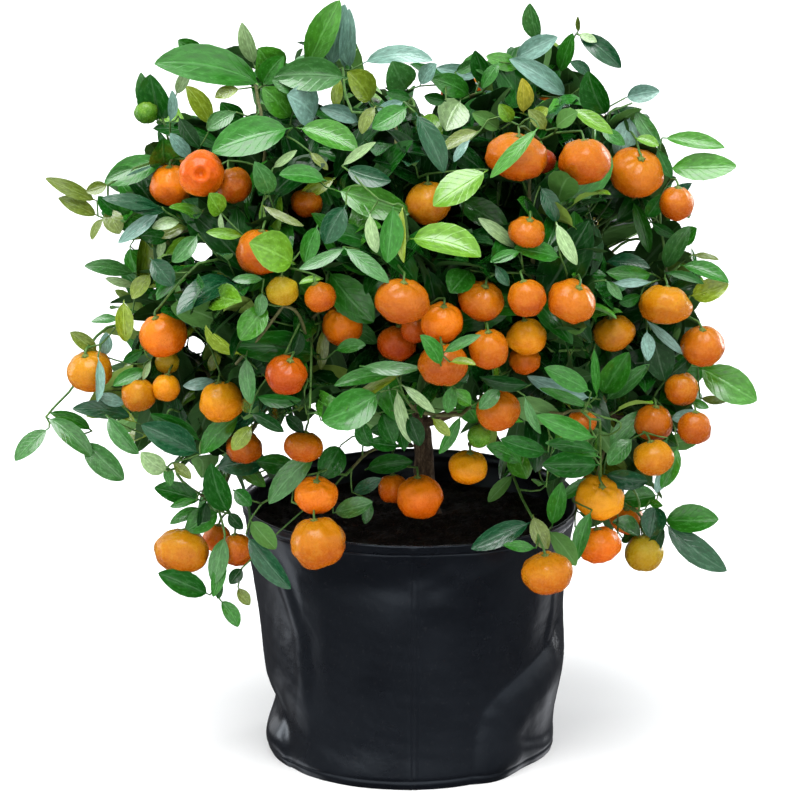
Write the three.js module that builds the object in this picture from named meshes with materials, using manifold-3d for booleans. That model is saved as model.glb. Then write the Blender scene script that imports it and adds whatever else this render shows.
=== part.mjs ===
// A small citrus tree (calamondin orange) in a soft black film pot, in millimetres, +Z up.
// The origin is the middle of the pot's flat underside, which stands on the floor.
// Pot and soil are shells of revolution with soft dents. Trunk and boughs are tapering limbs.
// Each mass of foliage is one uneven closed body; masses, boughs, soil and pot keep a small
// gap to each other instead of touching.
import * as THREE from "three";
import { mergeVertices } from "three/addons/utils/BufferGeometryUtils.js";
import Module from "manifold-3d";

const wasm = await Module();
wasm.setup();

// ---------------------------------------------------------------- sizes
const GAP = 0.5; // clear space between neighbouring solids
const LEAF_GAP = 2.6; // and between neighbouring masses of foliage
const LEAF_TOLERANCE = 1.1; // how far a mass may be smoothed to save faces

// pot
const POT_HEIGHT = 189;
const POT_WALL = 2.0;
const POT_FLOOR = 3.0;
const POT_FOOT_ROUND = 1.6; // radius lost at the very foot, where the base seam turns under
const POT_SIDES = 36;
const HEADSPACE = 21; // from soil to rim
const SOIL_TOP = POT_HEIGHT - HEADSPACE;
const SOIL_SWELL = 3.0;
const SOIL_PAD_R = 20; // flat place that the trunk stands on

// trunk
const TRUNK_FOOT = [11, 28];
const TRUNK_FORK = [1, 20, 284];
const TRUNK_R_FOOT = 7.4;
const TRUNK_R_FORK = 5.6;
const FLARE_R = 12.5;
const FLARE_HEIGHT = 16;

// ---------------------------------------------------------------- helpers
const clamp = (v, a, b) => Math.min(b, Math.max(a, v));
const smooth = (a, b, v) => {
  const t = clamp((v - a) / (b - a), 0, 1);
  return t * t * (3 - 2 * t);
};
const rad = THREE.MathUtils.degToRad;
const turn = (a) => Math.atan2(Math.sin(a), Math.cos(a));

function solid(geometry) {
  const g = geometry.index ? geometry.toNonIndexed() : geometry.clone();
  g.deleteAttribute("normal");
  g.deleteAttribute("uv");
  const m = mergeVertices(g, 1e-4);
  return new wasm.Manifold(
    new wasm.Mesh({
      numProp: 3,
      vertProperties: new Float32Array(m.attributes.position.array),
      triVerts: new Uint32Array(m.index.array),
    }),
  );
}

function geometryOf(manifold) {
  const m = manifold.getMesh();
  const pos = new Float32Array(m.numVert * 3);
  for (let i = 0; i < m.numVert; i++)
    for (let k = 0; k < 3; k++) pos[3 * i + k] = m.vertProperties[i * m.numProp + k];
  const g = new THREE.BufferGeometry();
  g.setAttribute("position", new THREE.BufferAttribute(pos, 3));
  g.setIndex(new THREE.BufferAttribute(new Uint32Array(m.triVerts), 1));
  g.computeVertexNormals();
  return g;
}

// The body of a cut solid that lies nearest to a point, or the largest one.
function pick(manifold, near = null) {
  const bodies = manifold.decompose();
  let best = null;
  let score = Infinity;
  for (const b of bodies) {
    if (b.volume() < 1) continue;
    let s = -b.volume();
    if (near) {
      const box = b.boundingBox();
      s = 0;
      for (let k = 0; k < 3; k++)
        s += Math.max(box.min[k] - near[k], 0, near[k] - box.max[k]) ** 2;
    }
    if (s < score) {
      score = s;
      best = b;
    }
  }
  return best;
}

// ---------------------------------------------------------------- pot and soil
// The film's outer radius at an azimuth (0 along +X, 90 along +Y) and a height.
const POT_PROFILE = [
  [0, 102.6],
  [22, 104.0],
  [50, 106.0],
  [82, 108.4],
  [112, 111.2],
  [134, 113.6],
  [154, 116.4],
  [172, 119.6],
  [189, 122.5],
];
// soft dents and bulges: azimuth, height, half-angle, half-height, depth (+ out), slant of the crease
const POT_DENTS = [
  { az: 268, z: 158, w: 26, h: 20, d: -4.2, slant: 0 },
  { az: 318, z: 70, w: 26, h: 60, d: -3.4, slant: 0.3 },
  { az: 342, z: 120, w: 14, h: 46, d: -1.8, slant: 0 },
  { az: 212, z: 96, w: 20, h: 58, d: -3.2, slant: -0.1 },
  { az: 196, z: 18, w: 16, h: 17, d: 3.0, slant: 0 },
  { az: 20, z: 60, w: 24, h: 60, d: -1.2, slant: 0 },
  { az: 75, z: 110, w: 28, h: 55, d: -3.2, slant: -0.2 },
  { az: 130, z: 60, w: 26, h: 55, d: -2.8, slant: 0.2 },
  { az: 165, z: 150, w: 18, h: 30, d: 2.2, slant: 0 },
  { az: 40, z: 168, w: 24, h: 18, d: 2.0, slant: 0 },
];

function potRadius(azDeg, z) {
  let r = POT_PROFILE[POT_PROFILE.length - 1][1];
  for (let i = 1; i < POT_PROFILE.length; i++) {
    const [z0, r0] = POT_PROFILE[i - 1];
    const [z1, r1] = POT_PROFILE[i];
    if (z <= z1) {
      r = r0 + ((r1 - r0) * (z - z0)) / (z1 - z0);
      break;
    }
  }
  for (const d of POT_DENTS) {
    const a = THREE.MathUtils.radToDeg(turn(rad(azDeg - d.az - d.slant * (z - d.z))));
    const q = (a / d.w) ** 2 + ((z - d.z) / d.h) ** 2;
    if (q < 4) r += d.d * Math.exp(-q * 1.6);
  }
  return r;
}

// The rim is not quite level: it dips on the right where the film sags.
const rimLift = (azDeg) =>
  -2.5 * Math.exp(-(((turn(rad(azDeg + 15)) / rad(30)) ** 2))) +
  1.2 * Math.cos(2 * rad(azDeg - 70));

// A closed body from stacked rings: ring(j) gives the points of one ring, and the first and
// last ring are closed with a fan round their own middle.
function stacked(rings, sides) {
  const pos = [];
  const idx = [];
  for (const ring of rings) for (const p of ring) pos.push(...p);
  const at = (j, i) => j * sides + (i % sides);
  for (let j = 0; j + 1 < rings.length; j++)
    for (let i = 0; i < sides; i++) {
      const a = at(j, i);
      const b = at(j, i + 1);
      const c = at(j + 1, i + 1);
      const d = at(j + 1, i);
      idx.push(a, b, c, a, c, d);
    }
  for (const [j, flip] of [
    [0, true],
    [rings.length - 1, false],
  ]) {
    const mid = [0, 0, 0];
    for (const p of rings[j]) for (let k = 0; k < 3; k++) mid[k] += p[k] / sides;
    const c = pos.length / 3;
    pos.push(...mid);
    for (let i = 0; i < sides; i++)
      if (flip) idx.push(c, at(j, i + 1), at(j, i));
      else idx.push(c, at(j, i), at(j, i + 1));
  }
  const g = new THREE.BufferGeometry();
  g.setAttribute("position", new THREE.Float32BufferAttribute(pos, 3));
  g.setIndex(idx);
  return g;
}

function potRing(z, inset, level = true, sides = POT_SIDES) {
  const ring = [];
  for (let i = 0; i < sides; i++) {
    const az = (360 * i) / sides;
    const lift = level ? 0 : rimLift(az) * smooth(60, POT_HEIGHT, z);
    const r = potRadius(az, z) - inset;
    ring.push([r * Math.cos(rad(az)), r * Math.sin(rad(az)), z + lift]);
  }
  return ring;
}

function potGeometry() {
  const heights = [5, 18, 42, 76, 108, 138, 160, 177, POT_HEIGHT];
  const rings = [potRing(0, POT_FOOT_ROUND)];
  for (const z of heights) rings.push(potRing(z, 0, false));
  for (const z of [POT_HEIGHT, 160, 108, 42]) rings.push(potRing(z, POT_WALL, false));
  rings.push(potRing(POT_FLOOR + 3, POT_WALL + 1.5));
  rings.push(potRing(POT_FLOOR, POT_WALL + POT_FOOT_ROUND + 1));
  return stacked(rings, POT_SIDES);
}

function soilGeometry() {
  const sides = POT_SIDES;
  const inset = POT_WALL + GAP + 0.9;
  const rings = [
    potRing(POT_FLOOR + GAP, POT_WALL + POT_FOOT_ROUND + 2.4),
    potRing(POT_FLOOR + 5, inset + 1.6),
  ];
  for (const z of [42, 108, 160]) rings.push(potRing(z, inset, false));
  const last = potRing(SOIL_TOP, inset + 3);
  rings.push(last);
  // gently swelling top, flat where the trunk stands
  for (const share of [0.7, 0.42])
    rings.push(
      last.map(([x, y], i) => {
        const px = TRUNK_FOOT[0] + (x - TRUNK_FOOT[0]) * share;
        const py = TRUNK_FOOT[1] + (y - TRUNK_FOOT[1]) * share;
        const bump = Math.sin(i * 0.9) + Math.sin(i * 2.3 + share * 9);
        return [px, py, SOIL_TOP + SOIL_SWELL * (1 - share * share) * 0.9 + 0.5 * bump * (share > 0.4)];
      }),
    );
  rings.push(
    last.map((_, i) => [
      TRUNK_FOOT[0] + SOIL_PAD_R * Math.cos(rad((360 * i) / sides)),
      TRUNK_FOOT[1] + SOIL_PAD_R * Math.sin(rad((360 * i) / sides)),
      SOIL_TOP + SOIL_SWELL,
    ]),
  );
  return stacked(rings, sides);
}

// ---------------------------------------------------------------- limbs
// A tapering limb along a smooth line through the given points. radius(t) gives its half
// width, and a flat cut ends it at both ends.
function limbGeometry(points, radius, { sides = 9, steps = 10, levelFoot = false, phase = 0 } = {}) {
  const curve = new THREE.CatmullRomCurve3(points.map((p) => new THREE.Vector3(...p)), false, "centripetal");
  const frames = curve.computeFrenetFrames(steps, false);
  const rings = [];
  for (let j = 0; j <= steps; j++) {
    const t = j / steps;
    const c = curve.getPointAt(t);
    const r = radius(t);
    const ring = [];
    for (let i = 0; i < sides; i++) {
      const a = (2 * Math.PI * i) / sides + phase;
      const uneven = 1 + 0.05 * Math.sin(3 * a + j) + 0.04 * Math.sin(2 * a - j * 0.7);
      const u = levelFoot && j === 0 ? new THREE.Vector3(1, 0, 0) : frames.normals[j];
      const v = levelFoot && j === 0 ? new THREE.Vector3(0, 1, 0) : frames.binormals[j];
      const p = c
        .clone()
        .addScaledVector(u, r * uneven * Math.cos(a))
        .addScaledVector(v, r * uneven * Math.sin(a));
      ring.push([p.x, p.y, p.z]);
    }
    rings.push(ring);
  }
  const s = solid(stacked(rings, sides));
  if (s.volume() > 0) return s;
  return solid(stacked(rings.map((r) => r.slice().reverse()), sides));
}

// Trunk: a slight lean to the left and back again, flaring at the soil.
const TRUNK_LINE = [
  [TRUNK_FOOT[0], TRUNK_FOOT[1], SOIL_TOP + SOIL_SWELL + GAP],
  [TRUNK_FOOT[0] + 0.3, TRUNK_FOOT[1] - 0.5, SOIL_TOP + 18],
  [TRUNK_FOOT[0] - 1.6, TRUNK_FOOT[1] - 3, 222],
  [TRUNK_FOOT[0] - 6, TRUNK_FOOT[1] - 6, 255],
  TRUNK_FORK,
];
const trunkLength = TRUNK_FORK[2] - SOIL_TOP;
const trunkRadius = (extra) => (t) => {
  const flare = (FLARE_R - TRUNK_R_FOOT) * Math.exp(-(t * trunkLength) / (FLARE_HEIGHT * 0.45));
  const swell = 1.3 * smooth(0.78, 1.0, t);
  return TRUNK_R_FOOT + (TRUNK_R_FORK - TRUNK_R_FOOT) * t + flare + swell + extra;
};
const trunkMake = (extra) =>
  limbGeometry(TRUNK_LINE, trunkRadius(extra), { sides: 10, steps: 11, levelFoot: extra === 0 });

// Main boughs: height on the trunk where each leaves, then the points it passes, root and end radius.
const BOUGHS = [
  { name: "bough_leader", at: 283, via: [[-4, 22, 330], [2, 14, 385], [-4, 4, 440]], r: [5.0, 2.6] },
  { name: "bough_front_right", at: 268, via: [[34, -22, 300], [70, -72, 330], [92, -104, 366]], r: [4.6, 2.6] },
  { name: "bough_left", at: 262, via: [[-42, 4, 292], [-96, -14, 318], [-158, -18, 326]], r: [4.6, 2.4] },
  { name: "bough_back_right", at: 274, via: [[34, 60, 306], [62, 104, 340], [78, 142, 368]], r: [4.4, 2.4] },
  { name: "bough_front_left", at: 277, via: [[-34, -20, 318], [-72, -66, 350], [-104, -98, 376]], r: [4.4, 2.4] },
  { name: "bough_back_left", at: 256, via: [[-36, 60, 290], [-78, 98, 322], [-120, 110, 352]], r: [4.4, 2.4] },
  { name: "bough_front", at: 280, via: [[4, -30, 326], [0, -84, 366], [-6, -124, 396]], r: [4.0, 2.4] },
  { name: "bough_right", at: 250, via: [[52, 6, 280], [104, -8, 310], [150, -22, 336]], r: [4.6, 2.4] },
  { name: "bough_low_left", at: 233, via: [[-30, 6, 258], [-82, -22, 272], [-128, -44, 266]], r: [3.6, 2.0] },
  { name: "bough_low_right", at: 238, via: [[46, -12, 262], [98, -36, 278], [140, -46, 270]], r: [3.6, 2.0] },
];
const trunkCurve = new THREE.CatmullRomCurve3(TRUNK_LINE.map((p) => new THREE.Vector3(...p)), false, "centripetal");
function onTrunk(z) {
  let best = trunkCurve.getPointAt(0);
  for (let i = 0; i <= 200; i++) {
    const p = trunkCurve.getPointAt(i / 200);
    if (Math.abs(p.z - z) < Math.abs(best.z - z)) best = p;
  }
  return [best.x, best.y, best.z];
}

// ---------------------------------------------------------------- foliage
// Each mass: middle, half sizes, tilt in degrees about X, Y and Z, and how uneven it is.
const MASSES = [
  // front of the crown, from the top down
  { name: "foliage_upper_front_left", at: [-106, -92, 462], half: [52, 54, 42], tilt: [0, 8, 0] },
  { name: "foliage_upper_front", at: [-7, -104, 474], half: [58, 56, 42], tilt: [6, 0, 0] },
  { name: "foliage_upper_front_right", at: [87, -96, 471], half: [55, 54, 42], tilt: [0, -8, 0] },
  { name: "foliage_mid_front_left", at: [-117, -120, 393], half: [58, 52, 50], tilt: [0, 0, 20] },
  { name: "foliage_mid_front", at: [-11, -158, 412], half: [62, 48, 48], tilt: [0, 0, 0] },
  { name: "foliage_mid_front_right", at: [91, -125, 399], half: [58, 52, 50], tilt: [0, 0, -20] },
  { name: "foliage_low_front_left", at: [-76, -130, 312], half: [56, 46, 40], tilt: [0, -6, 18] },
  { name: "foliage_low_front", at: [22, -148, 338], half: [58, 46, 38], tilt: [0, 6, 0] },
  { name: "foliage_low_front_right", at: [98, -118, 292], half: [54, 50, 46], tilt: [0, 0, -24] },
  // top
  { name: "foliage_top_left", at: [-150, 8, 470], half: [42, 50, 50], tilt: [0, -12, 0] },
  { name: "foliage_top_centre_left", at: [-80, -8, 493], half: [50, 60, 50], tilt: [0, 0, 0] },
  { name: "foliage_top_centre", at: [-4, 4, 476], half: [52, 70, 47], tilt: [0, 0, 0] },
  { name: "foliage_top_right_centre", at: [66, 6, 483], half: [50, 66, 47], tilt: [0, 0, 0] },
  { name: "foliage_top_right", at: [124, 0, 473], half: [44, 54, 50], tilt: [0, 14, 0] },
  // sides
  { name: "foliage_shoulder_left", at: [-188, 0, 424], half: [50, 56, 40], tilt: [0, 0, 0], fine: 1 },
  { name: "foliage_shoulder_right", at: [176, -18, 447], half: [44, 52, 42], tilt: [0, 10, 0], fine: 1 },
  { name: "foliage_mid_left", at: [-190, -24, 312], half: [51, 58, 46], tilt: [0, -10, 0] },
  { name: "foliage_mid_right", at: [176, -38, 346], half: [50, 60, 52], tilt: [0, 8, 0] },
  { name: "foliage_low_left", at: [-158, -62, 258], half: [58, 58, 40], tilt: [0, -8, 0], fine: 1 },
  { name: "foliage_low_right", at: [170, -50, 262], half: [49, 54, 48], tilt: [0, 6, 0], fine: 1 },
  // back
  { name: "foliage_back_top_left", at: [-100, 90, 450], half: [56, 58, 44], tilt: [0, 6, 0], fine: 1 },
  { name: "foliage_back_top", at: [0, 116, 446], half: [60, 62, 46], tilt: [-6, 0, 0], fine: 1 },
  { name: "foliage_back_top_right", at: [98, 90, 450], half: [56, 58, 44], tilt: [0, -6, 0], fine: 1 },
  { name: "foliage_back_left", at: [-152, 100, 372], half: [56, 54, 52], tilt: [0, 0, -20], fine: 1 },
  { name: "foliage_back_centre_left", at: [-48, 166, 376], half: [60, 48, 50], tilt: [0, 0, 0], fine: 1 },
  { name: "foliage_back_centre_right", at: [66, 164, 372], half: [60, 48, 52], tilt: [0, 0, 0], fine: 1 },
  { name: "foliage_back_right", at: [158, 92, 370], half: [50, 56, 52], tilt: [0, 0, 20], fine: 1 },
  { name: "foliage_back_low_left", at: [-158, 88, 264], half: [50, 50, 50], tilt: [0, 0, 0], fine: 1 },
  { name: "foliage_back_low_centre_left", at: [-58, 164, 286], half: [58, 40, 46], tilt: [0, 0, 0], fine: 1 },
  { name: "foliage_back_low_centre_right", at: [62, 162, 280], half: [58, 42, 46], tilt: [0, 0, 0], fine: 1 },
  { name: "foliage_back_low_right", at: [156, 82, 260], half: [48, 52, 50], tilt: [0, 0, 0], fine: 1 },
  // skirts that hang past the rim of the pot
  { name: "foliage_skirt_front_left", at: [-86, -136, 240], half: [42, 30, 34], tilt: [0, 0, 24], fine: 1 },
  { name: "foliage_skirt_left", at: [-150, -74, 192], half: [33, 42, 48], tilt: [0, 4, 0], fine: 1 },
  { name: "foliage_skirt_front_right", at: [96, -134, 212], half: [40, 26, 38], tilt: [0, 0, -30], fine: 1 },
  { name: "foliage_skirt_right", at: [164, -42, 186], half: [38, 42, 40], tilt: [0, -4, 0], fine: 1 },
  // long shoots that stand clear of the crown
  { name: "shoot_top_left", at: [-52, -2, 543], half: [19, 18, 31], tilt: [0, 14, 0], fine: 1 },
  { name: "shoot_top_right", at: [90, 0, 541], half: [13, 13, 25], tilt: [0, -4, 0], fine: 1 },
  { name: "shoot_left_upper", at: [-234, 2, 420], half: [35, 20, 17], tilt: [0, -8, 0], fine: 1 },
  { name: "shoot_right_upper", at: [209, -12, 452], half: [32, 20, 19], tilt: [0, -4, 0], fine: 1 },
  { name: "shoot_right_middle", at: [205, -22, 362], half: [26, 22, 18], tilt: [0, 0, 0], fine: 1 },
  { name: "shoot_right_low", at: [222, -24, 283], half: [30, 22, 20], tilt: [0, 8, 0], fine: 1 },
  { name: "shoot_left_low", at: [-252, -26, 237], half: [41, 24, 20], tilt: [0, -8, 0], fine: 1 },
  { name: "shoot_left_hanging", at: [-131, -80, 146], half: [15, 16, 32], tilt: [0, 10, 0], fine: 1 },
  { name: "shoot_right_hanging", at: [200, -34, 170], half: [26, 20, 21], tilt: [0, 18, 0], fine: 1 },
];
const UNEVEN = 0.065; // share of the half size that the surface swells and dips by

function massSolid(m, seed, extra) {
  const g = new THREE.IcosahedronGeometry(1, m.fine ?? 2);
  g.deleteAttribute("normal");
  g.deleteAttribute("uv");
  const merged = mergeVertices(g, 1e-4);
  const p = merged.attributes.position;
  const rotate = new THREE.Matrix4().makeRotationFromEuler(new THREE.Euler(...m.tilt.map(rad)));
  const v = new THREE.Vector3();
  for (let i = 0; i < p.count; i++) {
    v.fromBufferAttribute(p, i).normalize();
    let k = 1;
    for (let w = 1; w <= 4; w++) {
      const a = seed * 1.7 + w * 2.4;
      const dir = new THREE.Vector3(Math.sin(a), Math.cos(a * 1.3), Math.sin(a * 0.7 + 1)).normalize();
      k += (UNEVEN / w ** 0.5) * Math.sin((1.6 + w) * v.dot(dir) + a);
    }
    v.set(v.x * (m.half[0] + extra) * k, v.y * (m.half[1] + extra) * k, v.z * (m.half[2] + extra) * k);
    v.applyMatrix4(rotate).add(new THREE.Vector3(...m.at));
    p.setXYZ(i, v.x, v.y, v.z);
  }
  return solid(merged);
}

// ---------------------------------------------------------------- assembly
const LOOK = {
  pot: { color: 0x1b1d21, roughness: 0.42, metalness: 0 },
  soil: { color: 0x1c130e, roughness: 0.98, metalness: 0 },
  bark: { color: 0x4a4232, roughness: 0.9, metalness: 0 },
  leaf: { color: 0x2f6b24, roughness: 0.5, metalness: 0 },
};
const material = (look) => new THREE.MeshStandardMaterial(LOOK[look]);
const part = new THREE.Group();
part.name = "calamondin_orange_tree";
function add(name, manifold, look) {
  const mesh = new THREE.Mesh(geometryOf(manifold), material(look));
  mesh.name = name;
  part.add(mesh);
}

const pot = solid(potGeometry());
const soil = solid(soilGeometry());
add("pot", pot, "pot");
add("soil", soil, "soil");

const trunk = trunkMake(0);
add("trunk", trunk, "bark");

// Neighbouring masses meet at a plane between them, with a clear gap.
const made = MASSES.map((m, i) => ({
  name: m.name,
  middle: new THREE.Vector3(...m.at),
  body: massSolid(m, i + 1, 0),
}));
function reach(mass, dir) {
  const pos = mass.body.getMesh();
  let far = 0;
  const v = new THREE.Vector3();
  for (let i = 0; i < pos.numVert; i++) {
    v.fromArray(pos.vertProperties, i * pos.numProp).sub(mass.middle);
    const along = v.dot(dir);
    const off = v.addScaledVector(dir, -along).length();
    if (along > 0 && off < 0.6 * along) far = Math.max(far, along);
  }
  return far;
}
const whole = made.map((m) => ({ ...m }));
const isShoot = (m) => m.name.startsWith("shoot");
for (let i = 0; i < made.length; i++)
  for (let j = i + 1; j < made.length; j++) {
    if (isShoot(made[i]) !== isShoot(made[j])) continue;
    if (whole[i].body.intersect(whole[j].body).volume() <= 0) continue;
    const n = whole[j].middle.clone().sub(whole[i].middle);
    const d = n.length();
    n.divideScalar(d);
    const ri = reach(whole[i], n);
    const rj = reach(whole[j], n.clone().negate());
    const t = n.dot(whole[i].middle) + clamp((ri + d - rj) / 2, 0.2 * d, 0.8 * d);
    made[i].body = made[i].body.trimByPlane([-n.x, -n.y, -n.z], -(t - LEAF_GAP / 2));
    made[j].body = made[j].body.trimByPlane([n.x, n.y, n.z], t + LEAF_GAP / 2);
  }
// A mass swollen by the gap, for cutting the limbs that enter it.
function grown(m, gap = GAP) {
  const box = m.body.boundingBox();
  const mid = [0, 1, 2].map((k) => (box.min[k] + box.max[k]) / 2);
  const k = [0, 1, 2].map((a) => 1 + (2.4 * gap) / (box.max[a] - box.min[a]));
  return m.body.translate(mid.map((c) => -c)).scale(k).translate(mid);
}
for (const m of made) if (!isShoot(m)) m.body = pick(m.body).simplify(LEAF_TOLERANCE);
for (const m of made)
  if (isShoot(m)) {
    for (const big of made) if (!isShoot(big)) m.body = m.body.subtract(grown(big, LEAF_GAP / 2));
    m.body = pick(m.body).simplify(LEAF_TOLERANCE / 3);
  }

const limbs = [];
for (const b of BOUGHS) {
  const line = [onTrunk(b.at), ...b.via];
  const radius = (extra) => (t) => b.r[0] + (b.r[1] - b.r[0]) * t ** 0.8 + extra;
  let s = limbGeometry(line, radius(0), { sides: 6, steps: 5 });
  s = s.subtract(trunkMake(GAP));
  for (const other of limbs) s = s.subtract(other);
  for (const m of made) s = s.subtract(grown(m));
  s = pick(s, onTrunk(b.at));
  limbs.push(limbGeometry(line, radius(GAP), { sides: 6, steps: 5 }));
  add(b.name, s, "bark");
}
for (const m of made) add(m.name, m.body, "leaf");

export default part;
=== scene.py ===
# Calamondin orange tree in a soft black film pot: the looks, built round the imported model.
# Everything is worked out in millimetres in the model's own frame and turned into metres
# when a mesh is made. Nothing random is left unseeded.
import math

import bpy
import numpy as np
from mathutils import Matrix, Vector


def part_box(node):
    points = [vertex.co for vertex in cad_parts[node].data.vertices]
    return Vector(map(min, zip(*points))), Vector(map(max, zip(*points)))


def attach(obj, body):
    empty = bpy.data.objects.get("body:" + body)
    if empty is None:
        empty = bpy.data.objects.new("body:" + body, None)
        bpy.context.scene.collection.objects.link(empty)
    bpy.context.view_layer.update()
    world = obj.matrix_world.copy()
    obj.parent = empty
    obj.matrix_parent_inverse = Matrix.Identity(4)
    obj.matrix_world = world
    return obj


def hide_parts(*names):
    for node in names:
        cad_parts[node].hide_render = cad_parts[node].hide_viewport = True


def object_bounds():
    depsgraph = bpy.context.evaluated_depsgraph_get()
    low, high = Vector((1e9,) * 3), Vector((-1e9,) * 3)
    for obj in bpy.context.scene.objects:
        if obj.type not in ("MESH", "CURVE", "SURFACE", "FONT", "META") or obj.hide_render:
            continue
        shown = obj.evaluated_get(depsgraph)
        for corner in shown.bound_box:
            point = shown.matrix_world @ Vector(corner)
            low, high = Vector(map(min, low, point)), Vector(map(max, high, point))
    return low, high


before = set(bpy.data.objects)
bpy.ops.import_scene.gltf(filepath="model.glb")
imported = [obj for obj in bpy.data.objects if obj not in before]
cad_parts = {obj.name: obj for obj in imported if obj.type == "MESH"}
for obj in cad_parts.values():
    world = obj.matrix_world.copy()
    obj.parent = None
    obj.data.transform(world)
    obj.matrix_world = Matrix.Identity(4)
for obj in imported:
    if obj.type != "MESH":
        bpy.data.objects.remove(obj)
CAD_BOX = [list(v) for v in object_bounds()]
MM = 0.001

# ------------------------------------------------------------------ small helpers


def vec(*a):
    return np.array(a, float)


def unit(v):
    v = np.asarray(v, float)
    n = np.linalg.norm(v)
    return v / n if n > 1e-9 else vec(0, 0, 1)


def step(a, b, x):
    t = np.clip((np.asarray(x, float) - a) / (b - a), 0, 1)
    return t * t * (3 - 2 * t)


def waves(p, seed, size, octaves=3, count=7):
    """Smooth noise about -1 to 1 at points p (n, 3), with features about `size` mm across."""
    rng = np.random.default_rng(seed)
    out = np.zeros(len(p))
    amp, total = 1.0, 0.0
    for _ in range(octaves):
        d = rng.normal(size=(count, 3))
        d /= np.linalg.norm(d, axis=1)[:, None]
        k = 2 * np.pi / size * rng.uniform(0.6, 1.5, count)
        ph = rng.uniform(0, 2 * np.pi, count)
        out += amp * np.sin((p @ d.T) * k + ph).sum(1) / math.sqrt(count) * 0.9
        total += amp
        amp *= 0.5
        size *= 0.5
    return out / total


# ------------------------------------------------------------------ the line of sight
EYE = vec(-7.3, -4799, 1657)
AIM = vec(-7.3, 0, 264)
FOCAL = 6858.7  # in pixels of an 800 x 800 picture
FWD = unit(AIM - EYE)
RIGHT = unit(np.cross(FWD, vec(0, 0, 1)))
UPWARD = np.cross(RIGHT, FWD)
PX = 0.729  # millimetres per pixel at the middle of the tree


def ray(px, py):
    return unit(FWD * FOCAL + RIGHT * (px - 400) + UPWARD * (400 - py))


def on_ray(px, py, y):
    d = ray(px, py)
    return EYE + d * ((y - EYE[1]) / d[1])


def seen(p):
    """Pixel x, pixel y and distance of points (n, 3)."""
    q = np.atleast_2d(p) - EYE
    z = q @ FWD
    return 400 + FOCAL * (q @ RIGHT) / z, 400 - FOCAL * (q @ UPWARD) / z, z


# ------------------------------------------------------------------ the crown's masses, from the CAD
MASS_C, MASS_H, MASS_N = [], [], []
for _n in sorted(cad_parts):
    if _n.startswith(("foliage_", "shoot_")):
        _lo, _hi = (np.array(v) * 1000 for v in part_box(_n))
        MASS_C.append((_lo + _hi) / 2)
        MASS_H.append((_hi - _lo) / 2)
        MASS_N.append(_n)
MASS_C, MASS_H = np.array(MASS_C), np.array(MASS_H)
MASS_R = MASS_H.mean(1)


def inside(p):
    """How many millimetres a point is inside the foliage masses, about; negative outside."""
    q = np.linalg.norm((p[None, :] - MASS_C) / MASS_H, axis=1)
    return ((1 - q) * MASS_R).max()


def front(px, py):
    """Where the line of sight first meets the foliage, or passes nearest to it."""
    d = ray(px, py)
    o, e = (EYE - MASS_C) / MASS_H, d / MASS_H
    a, b, c = (e * e).sum(1), (o * e).sum(1), (o * o).sum(1) - 1
    disc = b * b - a * c
    if (disc > 0).any():
        t = np.where(disc > 0, (-b - np.sqrt(np.maximum(disc, 0))) / a, np.inf).min()
    else:
        k = np.argmin((c - b * b / a) * MASS_R)
        t = -b[k] / a[k]
    return EYE + d * t


def skin(px, py):
    """Like front(), but not down in a pit between two masses."""
    p = front(px, py)
    ring = [front(px + 15 * math.cos(a), py + 15 * math.sin(a))[1] for a in np.arange(8) * math.pi / 4]
    y = min(p[1], sorted(ring)[3] + 14)
    return on_ray(px, py, y)


# ------------------------------------------------------------------ pot shape, as in the CAD, with finer folds
POT_H, WALL, RIM_R = 189.0, 2.0, 122.5
PROFILE = np.array(
    [[0, 102.6], [22, 104], [50, 106], [82, 108.4], [112, 111.2], [134, 113.6], [154, 116.4], [172, 119.6], [189, 122.5]]
)
DENTS = [
    (268, 158, 26, 20, -4.2, 0),
    (318, 70, 26, 60, -3.4, 0.3),
    (342, 120, 14, 46, -1.8, 0),
    (212, 96, 20, 58, -3.2, -0.1),
    (196, 18, 16, 17, 3.0, 0),
    (20, 60, 24, 60, -1.2, 0),
    (75, 110, 28, 55, -3.2, -0.2),
    (130, 60, 26, 55, -2.8, 0.2),
    (165, 150, 18, 30, 2.2, 0),
    (40, 168, 24, 18, 2.0, 0),
]


def wrap(a):
    return (np.asarray(a) + 180) % 360 - 180


def pot_radius(az, z):
    """Outer radius of the film at azimuths (degrees) and heights: the CAD's shape."""
    az, z = np.broadcast_arrays(np.asarray(az, float), np.asarray(z, float))
    r = np.interp(z, PROFILE[:, 0], PROFILE[:, 1])
    for a0, z0, w, h, d, slant in DENTS:
        q = (wrap(az - a0 - slant * (z - z0)) / w) ** 2 + ((z - z0) / h) ** 2
        r = r + np.where(q < 4, d * np.exp(-q * 1.6), 0)
    return r


def rim_lift(az):
    return -2.5 * np.exp(-((wrap(az + 15) / 30) ** 2)) + 1.2 * np.cos(2 * np.radians(az - 70))


# ------------------------------------------------------------------ materials


def material(name):
    m = bpy.data.materials.new(name)
    m.use_nodes = True
    t = m.node_tree
    return m, t, t.nodes["Principled BSDF"]


def node(t, kind, **values):
    n = t.nodes.new(kind)
    for k, v in values.items():
        if k in n.inputs:
            n.inputs[k].default_value = v
        else:
            setattr(n, k, v)
    return n


def link(t, a, b):
    t.links.new(a, b)


def maths(t, op, a, b=None, clamp=False):
    n = t.nodes.new("ShaderNodeMath")
    n.operation = op
    n.use_clamp = clamp
    for i, v in enumerate((a, b)):
        if v is None:
            continue
        if isinstance(v, (int, float)):
            n.inputs[i].default_value = v
        else:
            t.links.new(v, n.inputs[i])
    return n.outputs[0]


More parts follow.
